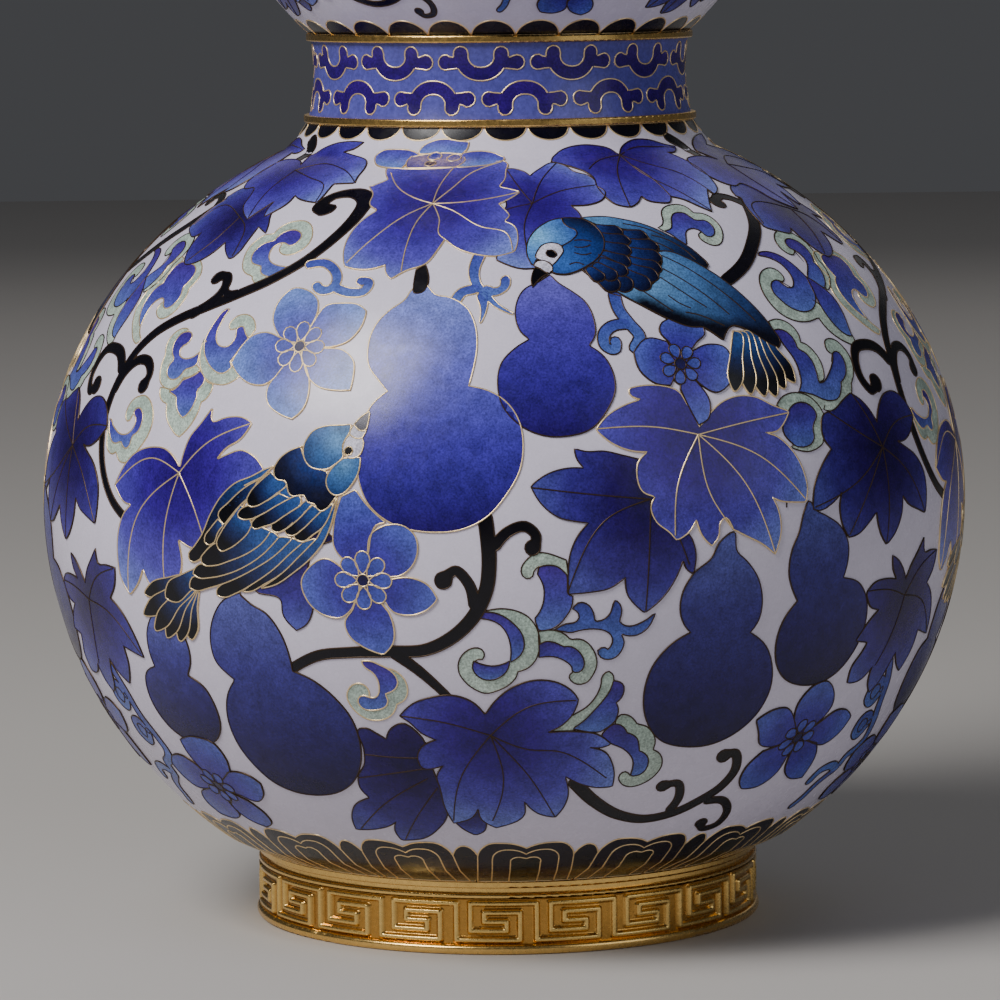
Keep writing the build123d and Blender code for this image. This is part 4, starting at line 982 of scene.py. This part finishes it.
    add_cloud(picture, 50, (
        "-16.7,43.3* -15,43.4 -13.5,42.7 -12.6,41.4 -12.4,40 -12.6,38.7* -11,37.7 -10,35.9 "
        "-9.9,33.8 -10.4,30.9* -8.5,31.1 -7,32.2 -5,33.9 -3.6,35.4 -2.8,36.9* -1.8,37.4 -.6,36.9 "
        "0,35.3 -.3,33.4 -1.5,31.8 -3.6,30.5* -4.4,28.9 -5.8,27.4 -9.4,27 -13.4,28.6 -16.8,29.5* "
        "-15.5,30.9 -14.8,33.3 -14.8,36.8 -15.6,39",), (
        "-16.8,45.4* -14.5,45.8 -12.5,45.2 -11,43.8 -10.4,42 -10.9,40.1* -9.8,39.7 -8.3,37.9 "
        "-7.5,35.5 -7.8,33 -8.5,31.4* -10.4,31* -11.5,33 -11.8,36.5 -13.6,39.3 -14.3,41.5 "
        "-16.5,42.5",
        "-2.9,36.8* -3.9,37.3 -4.1,38.6 -3.4,39.9 -1.9,40.3 0,39.8 1.5,38.2 2.4,36.3 2.4,34.2 "
        "1.5,32 -.3,30.1* -1,28.5 -2.3,26.8 -3.5,25.8 -8.4,24.6 -13.4,26 -16.8,28* -15,29.3 "
        "-9,28.5 -6,29.3 -4.5,31 -2.5,33 -1.3,35.5 -1.9,36.6",))
    add_cloud(picture, 44, (
        "-11.3,25.5* -9.7,26.7 -8,27.2 -5.9,26.9 -4.3,25.7 -3.8,24.2 -5,22.8* -5.8,21.3 -5.8,19.7 "
        "-7,18.4 -8.8,17.9 -11.3,18.2* -13.8,21.3",), (
        "-13.8,27* -12.2,28.4 -10.1,29.2 -7.6,29.3 -5.1,28.6 -3.4,27.3 -2.3,25.7 -1.8,24.3 "
        "-2.2,22.6 -2.8,20.5 -3.8,18.2* -5.5,17.4 -8,16.9 -10.5,17.3 -12.6,18.1* -11.3,18.9* "
        "-8.8,19 -7.2,19.6 -7,21.5 -6,23.3 -5.2,24.5 -6.5,25.8 -9,25.7 -11.3,24.6*",), layer=1.6)
    add_cloud(picture, 5, (
        "-13.6,-13.8* -13.2,-12.5* -10.9,-12.6 -8.9,-13.4 -7,-14.9 -5.5,-16.7 -4.8,-18.8 -5,-20.8 "
        "-6.1,-22.3 -7.6,-23.2* -7.4,-21.3 -7.6,-19.2 -8.3,-17 -9.5,-15.3 -11.1,-14.3",
        "-14.9,-22.9* -13.2,-23.6 -10.9,-24 -9.1,-23.6 -7.7,-22.9* -7.8,-24.2 -8.9,-26 -10.7,-27 "
        "-12.7,-27 -14.3,-25.9 -15.1,-24.4",
        "-1.9,-3.4* 0,-3 1.8,-3.4 3.8,-5.2* 3.8,-9* 4.9,-9.5* 4.8,-11.3 3.6,-13.6 1.8,-15.6 "
        "0,-16.4 -1.9,-16.5* -2.8,-14* -1.6,-12.3 -.9,-9.9 -1,-7.3 -2.2,-4.8*",
        "-1.8,-19.5* -.9,-18.9 1.4,-19.1 3,-20* 4.8,-20.1 6.3,-21.2 7.4,-23.5 7.2,-25 6,-25.8 "
        "5,-25.6* 4.9,-24.5 3.6,-23.2 1.8,-22.3 -1.8,-22.2*",), (
        "-12.5,-12.2* -9.1,-11.8 -6.4,-12.3 -4.1,-13.5 -2.5,-15.6 -1.7,-18.1 -1.8,-20.8 "
        "-2.5,-22.9 -4.1,-24.6 -6,-25.3* -6.4,-26.7 -7.7,-28.2 -10,-29.5 -12.3,-30.1 -14.5,-29.2 "
        "-16.6,-27.4 -17.8,-25.4 -17.9,-23.1 -17,-21.3 -15.5,-20.2 -13.6,-20.1 -12.7,-21.3 "
        "-13.1,-22.5 -14.2,-22.5* -15,-23.2* -13.5,-25.3 -10.5,-25.6 -8.3,-24* -6.2,-21 "
        "-6.2,-18.5 -7.8,-15.7 -10,-13.6",
        "3.6,-2.1* 1.7,-1.3 0,-.7 -1.8,-.5 -3.4,-1.1 -4.8,-2.4 -5.5,-3.8 -5.2,-5.1 -4.1,-5.8 "
        "-3.2,-5.4 -2.9,-4.1 -1.9,-3.3* 0,-4 2.2,-4.4 4,-5.2*",
        "-2,-16.7* 0,-16.4 2.3,-16.8 3.7,-17.7 4.5,-18.6* 6.8,-18.6 8.5,-19.9 9.6,-21.8 10,-24 "
        "9.3,-26.3 8.2,-27.9 6.4,-28.5 4.8,-27.6 4.3,-26.5 4.9,-25.7* 6.3,-25 6.3,-23 4.8,-21.3 "
        "3,-21 1,-20.2 -1.8,-20.5*",))
    add_cloud(picture, -14, (
        "-5.8,-23.3* -5.4,-24.5 -3.9,-25.5 -2.8,-27.2 -2.6,-29.1 -3,-30.8 -4.1,-31.6 -5,-31.4* "
        "-6.2,-31 -7.3,-31.6 -7.5,-32.8 -6.6,-34.1 -5,-34.5 -3.1,-34.2 -1.6,-33.3 -1.1,-31.8 "
        "-1.6,-30.5* -.4,-30.1 .9,-29.1 1.4,-27.8 1.1,-26.4 -.2,-24.9 -1.8,-24.1 -3.9,-23.2",), (
        "-.2,-24.7* 1.5,-25.5 2.8,-27 3.3,-28.9 2.8,-31.2 1.7,-32.4 .7,-32.7* 0,-34.5 -1.4,-36 "
        "-3.5,-36.8 -6,-36.6 -8.1,-35.1 -9.3,-33.3 -9.8,-31.6 -9.1,-29.5 -7.9,-28.5 -6.4,-28.3 "
        "-5.2,-29.1 -4.8,-30.5 -5,-31.4* -6.3,-32.3 -6,-33.3 -4,-33.3 -2.3,-32.3 -2.6,-30 "
        "-.5,-28.8 0,-27.2 -1.2,-25.3*",))
    add_cloud(picture, 14, (
        "-1.5,-27.9* -.4,-28.1 .7,-29 .9,-30.6 .4,-32.1 -.5,-33* .1,-34.4 .1,-35.9 -.5,-37.7 "
        "-1.8,-38.9 -3.3,-39.9* -5,-39.8 -8.9,-38.8* -6.8,-37 -5,-34.7 -3.2,-32.2 -1.9,-29.7",
        "-2.5,-40.2* -1.4,-38.7 -.1,-38 1,-38.4 2,-39.3 2.6,-40.4* 3.9,-41 5,-42.1 5.5,-43.6 "
        "5.8,-45.2* 7,-45.9 8.1,-47.5 8.2,-49.3 7.7,-50.9 6.4,-51.9 4.8,-51.9* 5,-50.2 4.8,-47.7 "
        "3.6,-45.7 1.8,-44.1 0,-43.2 -1.4,-42.3* -2.7,-41.1",), (
        "-14.3,-39.3* -11.4,-37 -9.1,-35.5 -6.4,-33.6 -4.8,-31.3 -4,-28.8 -3.9,-26.8 -2.8,-25.7 "
        "-1.7,-26.5 -1.4,-28.1* -1,-30 -2.2,-32.5 -4,-35 -6,-37.5 -8.5,-39.3*",
        "-.2,-38* 0,-36.8 .8,-35.9 1.9,-35.9 3.4,-36.9 4.5,-38.4* 6.4,-39 8,-40.6 8.9,-42.5 "
        "9,-43.8 8.7,-45.1* 10.2,-46.1 11.2,-47.9 11.3,-49.8 10.5,-51.8 9.1,-53.5 7.3,-54.6 5,-55 "
        "3.2,-54 2.4,-52.2 2.6,-51.1 3.4,-50.5 4.3,-51.1 4.8,-51.9* 6.2,-50.8 7.2,-49 6.8,-47 "
        "4.6,-44.6 4.4,-42.2 2.6,-40.8 1.4,-39.5 -.2,-39*",))


def draw_sprouts(picture):
    """Curling blue sprouts: most are brush lines, and one is an outline."""
    sprouts = (
        (-20, (("21.5,64 21.5,60 23,56.5 25,54.5 28,51.5 31.5,49.5", 2.6, .5),
               ("22.5,55.5 20,54.5 19.5,53", 2.4), ("24.5,54 25.5,51 25.5,47.5", 2.2, .4),
               ("25,55.5 27,54.8 28.5,56 28.3,58", 2.0))),
        (-20, (("-14.5,61.5 -11,62 -8.5,60.5 -7,58 -7.5,55.5 -10,55 -11.2,56", 2.2),
               ("-6,55.3 -3,54.5 -.2,55 .3,57 -1.5,57.5", 2.2))),
        (20, (("-5.5,54 -5.5,50 -4,46.5 -2.5,43.5 -4,41", 2.6), ("-5,46.5 -8,46 -10,44 -10,41.5 "
               "-8.5,40.8 -7.8,42.5", 2.4))),
        (60, (("-2.5,-31 0,-36 1.5,-42 4,-48 4.5,-51 2,-54 0,-55 -.5,-58 -5,-57 -8.5,-58 -9.5,-60.5", 2.4),
              ("-.5,-58.5 -5,-62.5 -6.5,-67 -7.5,-68.5", 2.2),
              ("-1,-38 -3.5,-40.8 -6.5,-39 -6,-35.8 -3,-35.2 -1,-37.5", 2.0),
              ("1,-46.5 -1.5,-49.5 -4.3,-47.5 -3.8,-44.4 -1,-44 1,-46", 2.0))),
    )
    for meridian, strokes in sprouts:
        # Painted light and shade: the wires of sprouts right of the middle take the darker, shaded copy of
        # the gilt, and those on the left the paler, lit one.
        wire = "dark" if meridian > 0 else "bright"
        add_strokes(picture, "sprouts", meridian, "sprout", 2.5, strokes, wire)
    picture.cell("sprouts", 5, closed(
        "1.3,-16.4* 2.7,-15.5 5.4,-15* 6.2,-14 5.9,-12.7 4.9,-12.1* 5.5,-11.1 6.8,-10.8 8.3,-11.6 "
        "9.1,-13.1 9.4,-14.9* 11.1,-14.6 12.6,-13.2 13.1,-11.5 13.5,-10.5* 14.5,-11.4 14.9,-12.9 "
        "14.4,-15* 15.2,-15.8 16.8,-16.2 18.6,-15.7 20,-15 22,-13.6* 20,-17.1 18.2,-18.1 15.9,-18.1 "
        "14.8,-17.7* 15.5,-19.5 15,-21.3 13.5,-22.9 11.8,-23.1 10.4,-22.3 10.1,-21.1 10.9,-20.4 "
        "12.2,-20.9* 13,-19.9 13,-18.2 11.8,-17 10,-16.5 7.3,-16.5 4.5,-17.1*"),
        "sprout", 2.5, wire="dark")


# ---- Borders ----------------------------------------------------------------
def round_border(count, first):
    """The meridians of a border's units, evenly round its chart."""
    return [first + index * 360 / count for index in range(count)]


def scallops(picture, count, first, half, height, foot, sign):
    """A row of dark half-ovals that hang from, or stand on, a gilt fillet."""
    angle = np.linspace(0, pi, 17)
    dome = np.stack([half * np.cos(angle), foot + sign * height * np.sin(angle)], 1)
    if sign < 0:
        dome = dome[::-1]
    for at in round_border(count, first):
        picture.cell("scallops", at, dome, "midnight", 1)


def waist_clouds(picture, count, first, foot, sign):
    """A row of arched clouds, each with rounded legs and ears."""
    strokes = (("-4.25,-1.05 -3.6,1.4 -2,2.8 0,3.2 2,2.8 3.6,1.4 4.25,-1.05", 2.9, 2.7, 1.6, 1.6),
               ("4.3,.6 6,.9 7.55,.75", 2.4, 2.4, 1.6), ("-4.3,.6 -6,.9 -7.55,.75", 2.4, 2.4, 1.6))

    for at in round_border(count, first):
        group = picture.new_group()
        for number, (text, *widths) in enumerate(strokes):
            loop = stroke(text, *widths) * (1, sign) + (0, foot)
            loop = loop[::-1] if sign < 0 else loop
            picture.cell("waist clouds", at, loop, "waist cloud", 1 + STROKE_LIFT * number, group=group)


def lappets(picture, count, first):
    """Double-lobed leaves standing round the foot, one inside the other."""
    foot = LOWER.at(FOOT_HEIGHT) + 0.05

    def heart(half, height, notch):
        top = LOWER.at(height)
        flank = top - half * 0.42
        right = [(half * 0.94, foot), (half, flank - 1.2), (half * 0.96, flank + half * 0.14),
                 (half * 0.78, top - 0.3), (half * 0.5, top), (half * 0.22, top - notch * 0.3)]
        left = [(-x, s) for x, s in right[::-1]]
        arch = smooth(np.array(right[1:] + [(0, top - notch)]))
        return np.concatenate([[right[0]], arch[:-1], (arch * (-1, 1))[::-1], [left[-1]]])

    angle = np.linspace(0, pi, 15)
    gap = np.stack([3.4 * np.cos(angle), foot + (LOWER.at(26.2) - foot) * np.sin(angle) ** 0.5], 1)
    for at in round_border(count, first):
        picture.cell("lappets", at + 180 / count, gap, "midnight", 1.0)
        picture.cell("lappets", at, heart(10.0, 26.9, 2.0), "lappet", 1.6)
        picture.cell("lappets", at, heart(6.9, 25.2, 1.8), "lappet", 2.2)
        picture.cell("lappets", at, heart(3.1, 23.3, 0.8), "lappet heart", 2.8)


# ---- Materials --------------------------------------------------------------
# Nearly all of a noise's values lie between these, so they are what gets remapped.
MIDDLING = (0.3, 0.7)
NARROW = (0.32, 0.68)


class Nodes:
    """Small helper for building one material's node tree."""

    def __init__(self, name):
        self.material = bpy.data.materials.new(name)
        self.material.use_nodes = True
        self.tree = self.material.node_tree
        self.surface = self.tree.nodes["Principled BSDF"]
        self.place = self.add("ShaderNodeTexCoord").outputs["Object"]

    def add(self, kind, **values):
        node = self.tree.nodes.new(kind)
        for key, value in values.items():
            if key in node.bl_rna.properties:
                setattr(node, key, value)
            else:
                node.inputs[key.replace("_", " ")].default_value = value
        return node

    def link(self, source, target):
        self.tree.links.new(source, target)

    def noise(self, size, detail=3.0, rough=0.5):
        """Noise whose grains are about this many millimetres across."""
        node = self.add("ShaderNodeTexNoise", Scale=1000 / size, Detail=detail, Roughness=rough)
        self.link(self.place, node.inputs["Vector"])
        return node.outputs["Fac"]

    def cells(self, size):
        """Rounded cells about this many millimetres across."""
        node = self.add("ShaderNodeTexVoronoi", Scale=1000 / size)
        self.link(self.place, node.inputs["Vector"])
        return node.outputs["Distance"]

    def remap(self, source, low, high, new_low, new_high):
        """A value moved from one range into another."""
        node = self.add("ShaderNodeMapRange")
        for socket, value in zip(("From Min", "From Max", "To Min", "To Max"),
                                 (low, high, new_low, new_high)):
            node.inputs[socket].default_value = value
        self.link(source, node.inputs["Value"])
        return node.outputs["Result"]

    def math(self, operation, first, second):
        node = self.add("ShaderNodeMath", operation=operation)
        for socket, value in zip(node.inputs, (first, second)):
            if isinstance(value, (int, float)):
                socket.default_value = value
            else:
                self.link(value, socket)
        return node.outputs[0]

    def scaled(self, colour, factor):
        """A colour made lighter or darker by a factor."""
        node = self.add("ShaderNodeVectorMath", operation="SCALE")
        self.link(colour, node.inputs[0])
        self.link(factor, node.inputs["Scale"])
        return node.outputs[0]

    def paint(self):
        """The colour that each mesh point carries."""
        return self.add("ShaderNodeAttribute", attribute_name="paint").outputs["Color"]

    def bump(self, height, strength, distance):
        """Raises the surface by up to a distance in millimetres."""
        node = self.add("ShaderNodeBump", Strength=strength, Distance=distance / 1000)
        self.link(height, node.inputs["Height"])
        self.link(node.outputs[0], self.surface.inputs["Normal"])

    def base(self, colour):
        self.link(colour, self.surface.inputs["Base Color"])

    def fixed(self, **values):
        for key, value in values.items():
            self.surface.inputs[key.replace("_", " ")].default_value = value


def enamel(name, grain=0.22, grain_size=0.55, specks=0.0):
    """Fired and polished glass: grainy colour under a clear, slightly wavy gloss."""
    n = Nodes(name)
    fine = n.remap(n.noise(grain_size, 2, 0.7), *NARROW, 1 - grain, 1 + grain)
    broad = n.remap(n.noise(3.2, 4, 0.6), *MIDDLING, 1 - grain * 0.7, 1 + grain * 0.7)
    factor = n.math("MULTIPLY", fine, broad)
    if specks:
        pits = n.remap(n.cells(1.1), 0.03, 0.12, 1 - specks, 1.0)
        factor = n.math("MULTIPLY", factor, pits)
    n.base(n.scaled(n.paint(), factor))
    n.link(n.remap(n.noise(2.5), *MIDDLING, 0.22, 0.30), n.surface.inputs["Roughness"])
    n.bump(n.noise(1.6, 3), 0.03, 0.10)
    n.fixed(Specular_IOR_Level=0.36, IOR=1.5)
    return n.material


def gilding(name, colour, roughness, wear=0.10, pitting=0.0, tinted=False, metallic=1.0):
    """Polished gilt copper with faint scratches, rubs and, where cast, fine pits."""
    n = Nodes(name)
    factor = n.remap(n.noise(1.2, 4), *MIDDLING, 1 - wear, 1 + wear * 0.4)
    if tinted:
        n.base(n.scaled(n.paint(), factor))
    else:
        tone = n.add("ShaderNodeRGB")
        tone.outputs[0].default_value = (*linear(*colour), 1)
        n.base(n.scaled(tone.outputs[0], factor))
    n.link(n.remap(n.noise(0.9, 4), *MIDDLING, roughness * 0.85, roughness * 1.25),
           n.surface.inputs["Roughness"])
    if pitting:
        n.bump(n.math("ADD", n.cells(0.55), n.math("MULTIPLY", n.noise(0.3), 0.4)), pitting, 0.12)
    else:
        n.bump(n.noise(0.6, 3), 0.02, 0.08)
    n.fixed(Metallic=metallic)
    return n.material


def plain_metal(name, colour, metallic, roughness):
    """Metal or lining that is seldom seen: mottled, with a light texture."""
    n = Nodes(name)
    tone = n.add("ShaderNodeRGB")
    tone.outputs[0].default_value = (*linear(*colour), 1)
    n.base(n.scaled(tone.outputs[0], n.remap(n.noise(3, 4), *MIDDLING, 0.8, 1.15)))
    n.link(n.remap(n.noise(1.5), *MIDDLING, roughness * 0.8, roughness * 1.2),
           n.surface.inputs["Roughness"])
    n.bump(n.noise(1.0, 3), 0.15, 0.1)
    n.fixed(Metallic=metallic)
    return n.material


# ---- Foot -------------------------------------------------------------------
def meander_distance(x, z, pitch):
    """How far each point of the foot's unrolled band is from the fret's centre line."""
    column = FRET_COLUMNS
    row = [FRET_LOW + k * FRET_ROW for k in range(5)]
    path = np.array([
        (column[0], row[4]), (column[0], row[0]), (column[4], row[0]), (column[4], row[3]),
        (column[2], row[3]), (column[2], row[2]), (column[3], row[2]), (column[3], row[1]),
        (column[1], row[1]), (column[1], row[4]), (column[0] + pitch, row[4])])
    nearest = np.full(x.shape, 99.0)
    for shift in (-pitch, 0, pitch):
        for a, b in zip(path[:-1] + (shift, 0), path[1:] + (shift, 0)):
            along = b - a
            t = np.clip(((x - a[0]) * along[0] + (z - a[1]) * along[1]) / (along @ along), 0, 1)
            nearest = np.minimum(nearest, np.hypot(x - a[0] - t * along[0], z - a[1] - t * along[1]))
    return nearest


def fret_relief(material):
    """The foot's cast band: a rounded meander standing out of a punched ground."""
    pitch = radians(360 / FRETS) * FIELD_RADIUS
    columns, rows = 72, 46
    x = np.linspace(-pitch / 2, pitch / 2, columns, endpoint=False)
    z = np.linspace(FRET_FOOT, FRET_TOP, rows)
    x, z = np.meshgrid(x, z)
    away = meander_distance(x, z, pitch)
    rise = np.clip((FRET_EDGE - away) / FRET_SLOPE, 0, 1)
    rise = rise * rise * (3 - 2 * rise)
    rise = np.maximum(rise, np.clip((z - (FRET_TOP - LIP_WIDTH)) / LIP_SLOPE, 0, 1))
    crown = 1 - 0.10 * np.clip(away / 0.5, 0, 1) ** 2
    hollow, ridge = linear(*FRET_HOLLOW), linear(*FRET_RIDGE)
    unit_colour = hollow + (ridge - hollow) * rise[..., None]
    unit_theta = np.degrees(x / FIELD_RADIUS) + FRET_TURN
    theta = np.concatenate([unit_theta + 360 / FRETS * k for k in range(FRETS)], 1)
    height = np.concatenate([z] * FRETS, 1)
    radius = FIELD_RADIUS + FRET_PROUD * np.concatenate([rise * crown] * FRETS, 1)
    colour = np.concatenate([unit_colour] * FRETS, 1)
    angle = np.radians(theta)
    verts = np.stack([radius * np.sin(angle), -radius * np.cos(angle), height], -1).reshape(-1, 3)
    builder = Builder()
    builder.add(verts, grid_faces(rows, columns * FRETS, round_columns=True), colour.reshape(-1, 3))
    builder.make("foot_fret_relief", material, "gilt", ("foot_fret_band",))


# ---- Assembly ---------------------------------------------------------------
def dress_frame(gilt, copper, lining):
    """Better materials for the CAD nodes that keep their shape."""
    finish = {"gilt": gilt, "copper": copper, "counter_enamel": lining}
    for part in frame["record"]["subparts"]:
        node = frame["nodes"].get(part["node"])
        material = finish.get(part["material_slot"])
        if node and material:
            node.data.materials.clear()
            node.data.materials.append(material)


def paint_bulbs(white, colours, bright, dark):
    """The ground coats, and the picture laid three times round each bulb."""
    picture = Picture(LOWER)
    for draw in (draw_leaves, draw_gourds, draw_flowers, draw_left_bird, draw_right_bird, draw_vines,
                 draw_clouds, draw_sprouts):
        draw(picture)
    find_runs(picture)
    ground = Builder()
    coat(ground, LOWER, LOWER.at(FOOT_HEIGHT), LOWER.s[-1], linear(*GROUND))
    ground.make("lower_bulb_ground", white, "white_enamel",
                ("enamel_lower_bulb_bottom", "enamel_lower_bulb_top", "enamel_shoulder"))
    ground = Builder()
    coat(ground, UPPER, UPPER.s[0], UPPER.s[-1], linear(*GROUND), step=1.5)
    ground.make("upper_bulb_ground", white, "white_enamel",
                ("enamel_upper_bulb_bottom", "enamel_upper_bulb_top", "enamel_neck"))
    for prefix, chart, scale, first in (("lower", LOWER, 1.0, 0.0),
                                        ("upper", UPPER, UPPER_SCALE, UPPER_TURN)):
        turns = [first + PERIOD * k for k in (-1, 0, 1)]
        for kind in ("leaves", "gourds", "flowers", "birds", "vines", "clouds", "sprouts"):
            lay_cells(picture, chart, (kind,), turns, scale).make(
                f"{prefix}_bulb_{kind}", colours, "blue_enamel")
        # Wires in the paler copy of the gilt (painted light), then those in the darker copy (painted
        # shade).
        lay_wires(picture, chart, "bright", turns, scale).make(
            f"{prefix}_bulb_lit_gilt_wires", bright, "wire")
        lay_wires(picture, chart, "dark", turns, scale).make(
            f"{prefix}_bulb_shaded_gilt_wires", dark, "wire")


def border_piece(picture, chart, kind, name, finishes, replaces):
    """The cells of one border and the gilt wires that fence them."""
    enamelled, gilt = finishes
    lay_cells(picture, chart, (kind,), (0,)).make(f"{name}_cells", enamelled, "blue_enamel")
    find_runs(picture)
    # The border wires all take the paler copy of the gilt wire: painted light.
    lay_wires(picture, chart, "bright", (0,)).make(f"{name}_wires", gilt, "wire", replaces)


def paint_borders(colours, blue, bright):
    """Scallops and clouds at the waist, lappets at the foot, scallops at the mouth."""
    finishes = (colours, bright)
    picture = Picture(LOWER, 360)
    scallops(picture, count=29, first=1.5, half=4.35, height=3.3,
             foot=LOWER.at(SHOULDER_TOP) - BORDER_GAP, sign=-1)
    border_piece(picture, LOWER, "scallops", "shoulder_scallop", finishes, ("scallop_wires_lower",))

    ground = Builder()
    coat(ground, MIDDLE, MIDDLE.at(SHOULDER_TOP), MIDDLE.at(TOP_START), linear(*WAIST_GROUND), step=1.0)
    ground.make("waist_ground", blue, "blue_enamel", ("enamel_waist",))
    picture = Picture(MIDDLE, 360)
    waist_clouds(picture, count=13, first=7.5, foot=MIDDLE.at(178.0), sign=1)
    waist_clouds(picture, count=13, first=-5.5, foot=MIDDLE.at(187.2), sign=-1)
    border_piece(picture, MIDDLE, "waist clouds", "waist_cloud", finishes,
                 ("cloud_wires_lower", "cloud_wires_upper"))

    picture = Picture(UPPER, 360)
    scallops(picture, count=28, first=-1.7, half=4.55, height=4.6, foot=UPPER.s[0] + BORDER_GAP, sign=1)
    scallops(picture, count=20, first=0, half=2.6, height=2.6, foot=UPPER.s[-1] - BORDER_GAP, sign=-1)
    border_piece(picture, UPPER, "scallops", "upper_scallop", finishes, ("scallop_wires_upper",))

    picture = Picture(LOWER, 360)
    lappets(picture, count=17, first=3.2)
    border_piece(picture, LOWER, "lappets", "foot_lappet", finishes,
                 ("lappet_wires_outer", "lappet_wires_middle", "lappet_wires_inner"))


# ---- Stage ------------------------------------------------------------------
def studio():
    """A pale floor, soft lights and the camera."""
    mesh = bpy.data.meshes.new("floor")
    reach = FLOOR_REACH
    mesh.from_pydata([(-reach, -reach, 0), (reach, -reach, 0), (reach, reach, 0), (-reach, reach, 0)],
                     [], [(0, 1, 2, 3)])
    floor = bpy.data.objects.new("floor", mesh)
    bpy.context.collection.objects.link(floor)
    n = Nodes("floor")
    n.fixed(Base_Color=FLOOR_COLOUR, Roughness=FLOOR_ROUGHNESS)
    mesh.materials.append(n.material)

    world = bpy.data.worlds.new("studio")
    bpy.context.scene.world = world
    world.use_nodes = True
    sky = world.node_tree.nodes["Background"]
    sky.inputs["Color"].default_value = SKY_COLOUR
    sky.inputs["Strength"].default_value = SKY_STRENGTH
    for name, place, width, power, colour in LAMPS:
        lamp = bpy.data.lights.new(name, "AREA")
        lamp.shape = "SQUARE"
        lamp.size, lamp.energy, lamp.color = width, power, colour
        holder = bpy.data.objects.new(name, lamp)
        holder.location = place
        aim = Vector(AIM) - Vector(place)
        holder.rotation_euler = aim.to_track_quat("-Z", "Y").to_euler()
        bpy.context.collection.objects.link(holder)

    camera = bpy.data.objects.new("camera", bpy.data.cameras.new("camera"))
    camera.data.sensor_width = SENSOR_WIDTH
    camera.data.lens = LENS
    turn = (Matrix.Rotation(CAMERA_PAN, 4, "Z") @ Matrix.Rotation(radians(90 - CAMERA_DIP), 4, "X")
            @ Matrix.Rotation(radians(CAMERA_ROLL), 4, "Z"))
    camera.matrix_world = Matrix.Translation(CAMERA_PLACE) @ turn
    bpy.context.collection.objects.link(camera)
    bpy.context.scene.camera = camera


studio()
WHITE = enamel("white_enamel", grain=0.035, grain_size=0.5, specks=0.12)
COLOURS = enamel("coloured_enamel", grain=0.36, grain_size=0.45)
BLUE = enamel("waist_enamel", grain=0.16, grain_size=0.8, specks=0.10)
# Painted light and shade: the wires are all of one gilt, and the two wire materials below are a paler copy
# for wires that catch the light and a darker copy for wires in shade.
LIT_WIRE = gilding("lit_gilt_wire", (242, 214, 164), 0.34, metallic=0.75)
SHADED_WIRE = gilding("shaded_gilt_wire", (66, 48, 32), 0.40, metallic=0.6)
GILT = gilding("gilt", (240, 198, 118), 0.24)
FRET = gilding("fret_gilt", (226, 178, 84), 0.27, pitting=0.1, tinted=True)
COPPER = plain_metal("copper", (186, 110, 76), 1.0, 0.4)
LINING = plain_metal("counter_enamel", (40, 66, 118), 0.0, 0.25)
dress_frame(GILT, COPPER, LINING)
paint_bulbs(WHITE, COLOURS, LIT_WIRE, SHADED_WIRE)
paint_borders(COLOURS, BLUE, LIT_WIRE)
fret_relief(FRET)

bpy.context.view_layer.update()
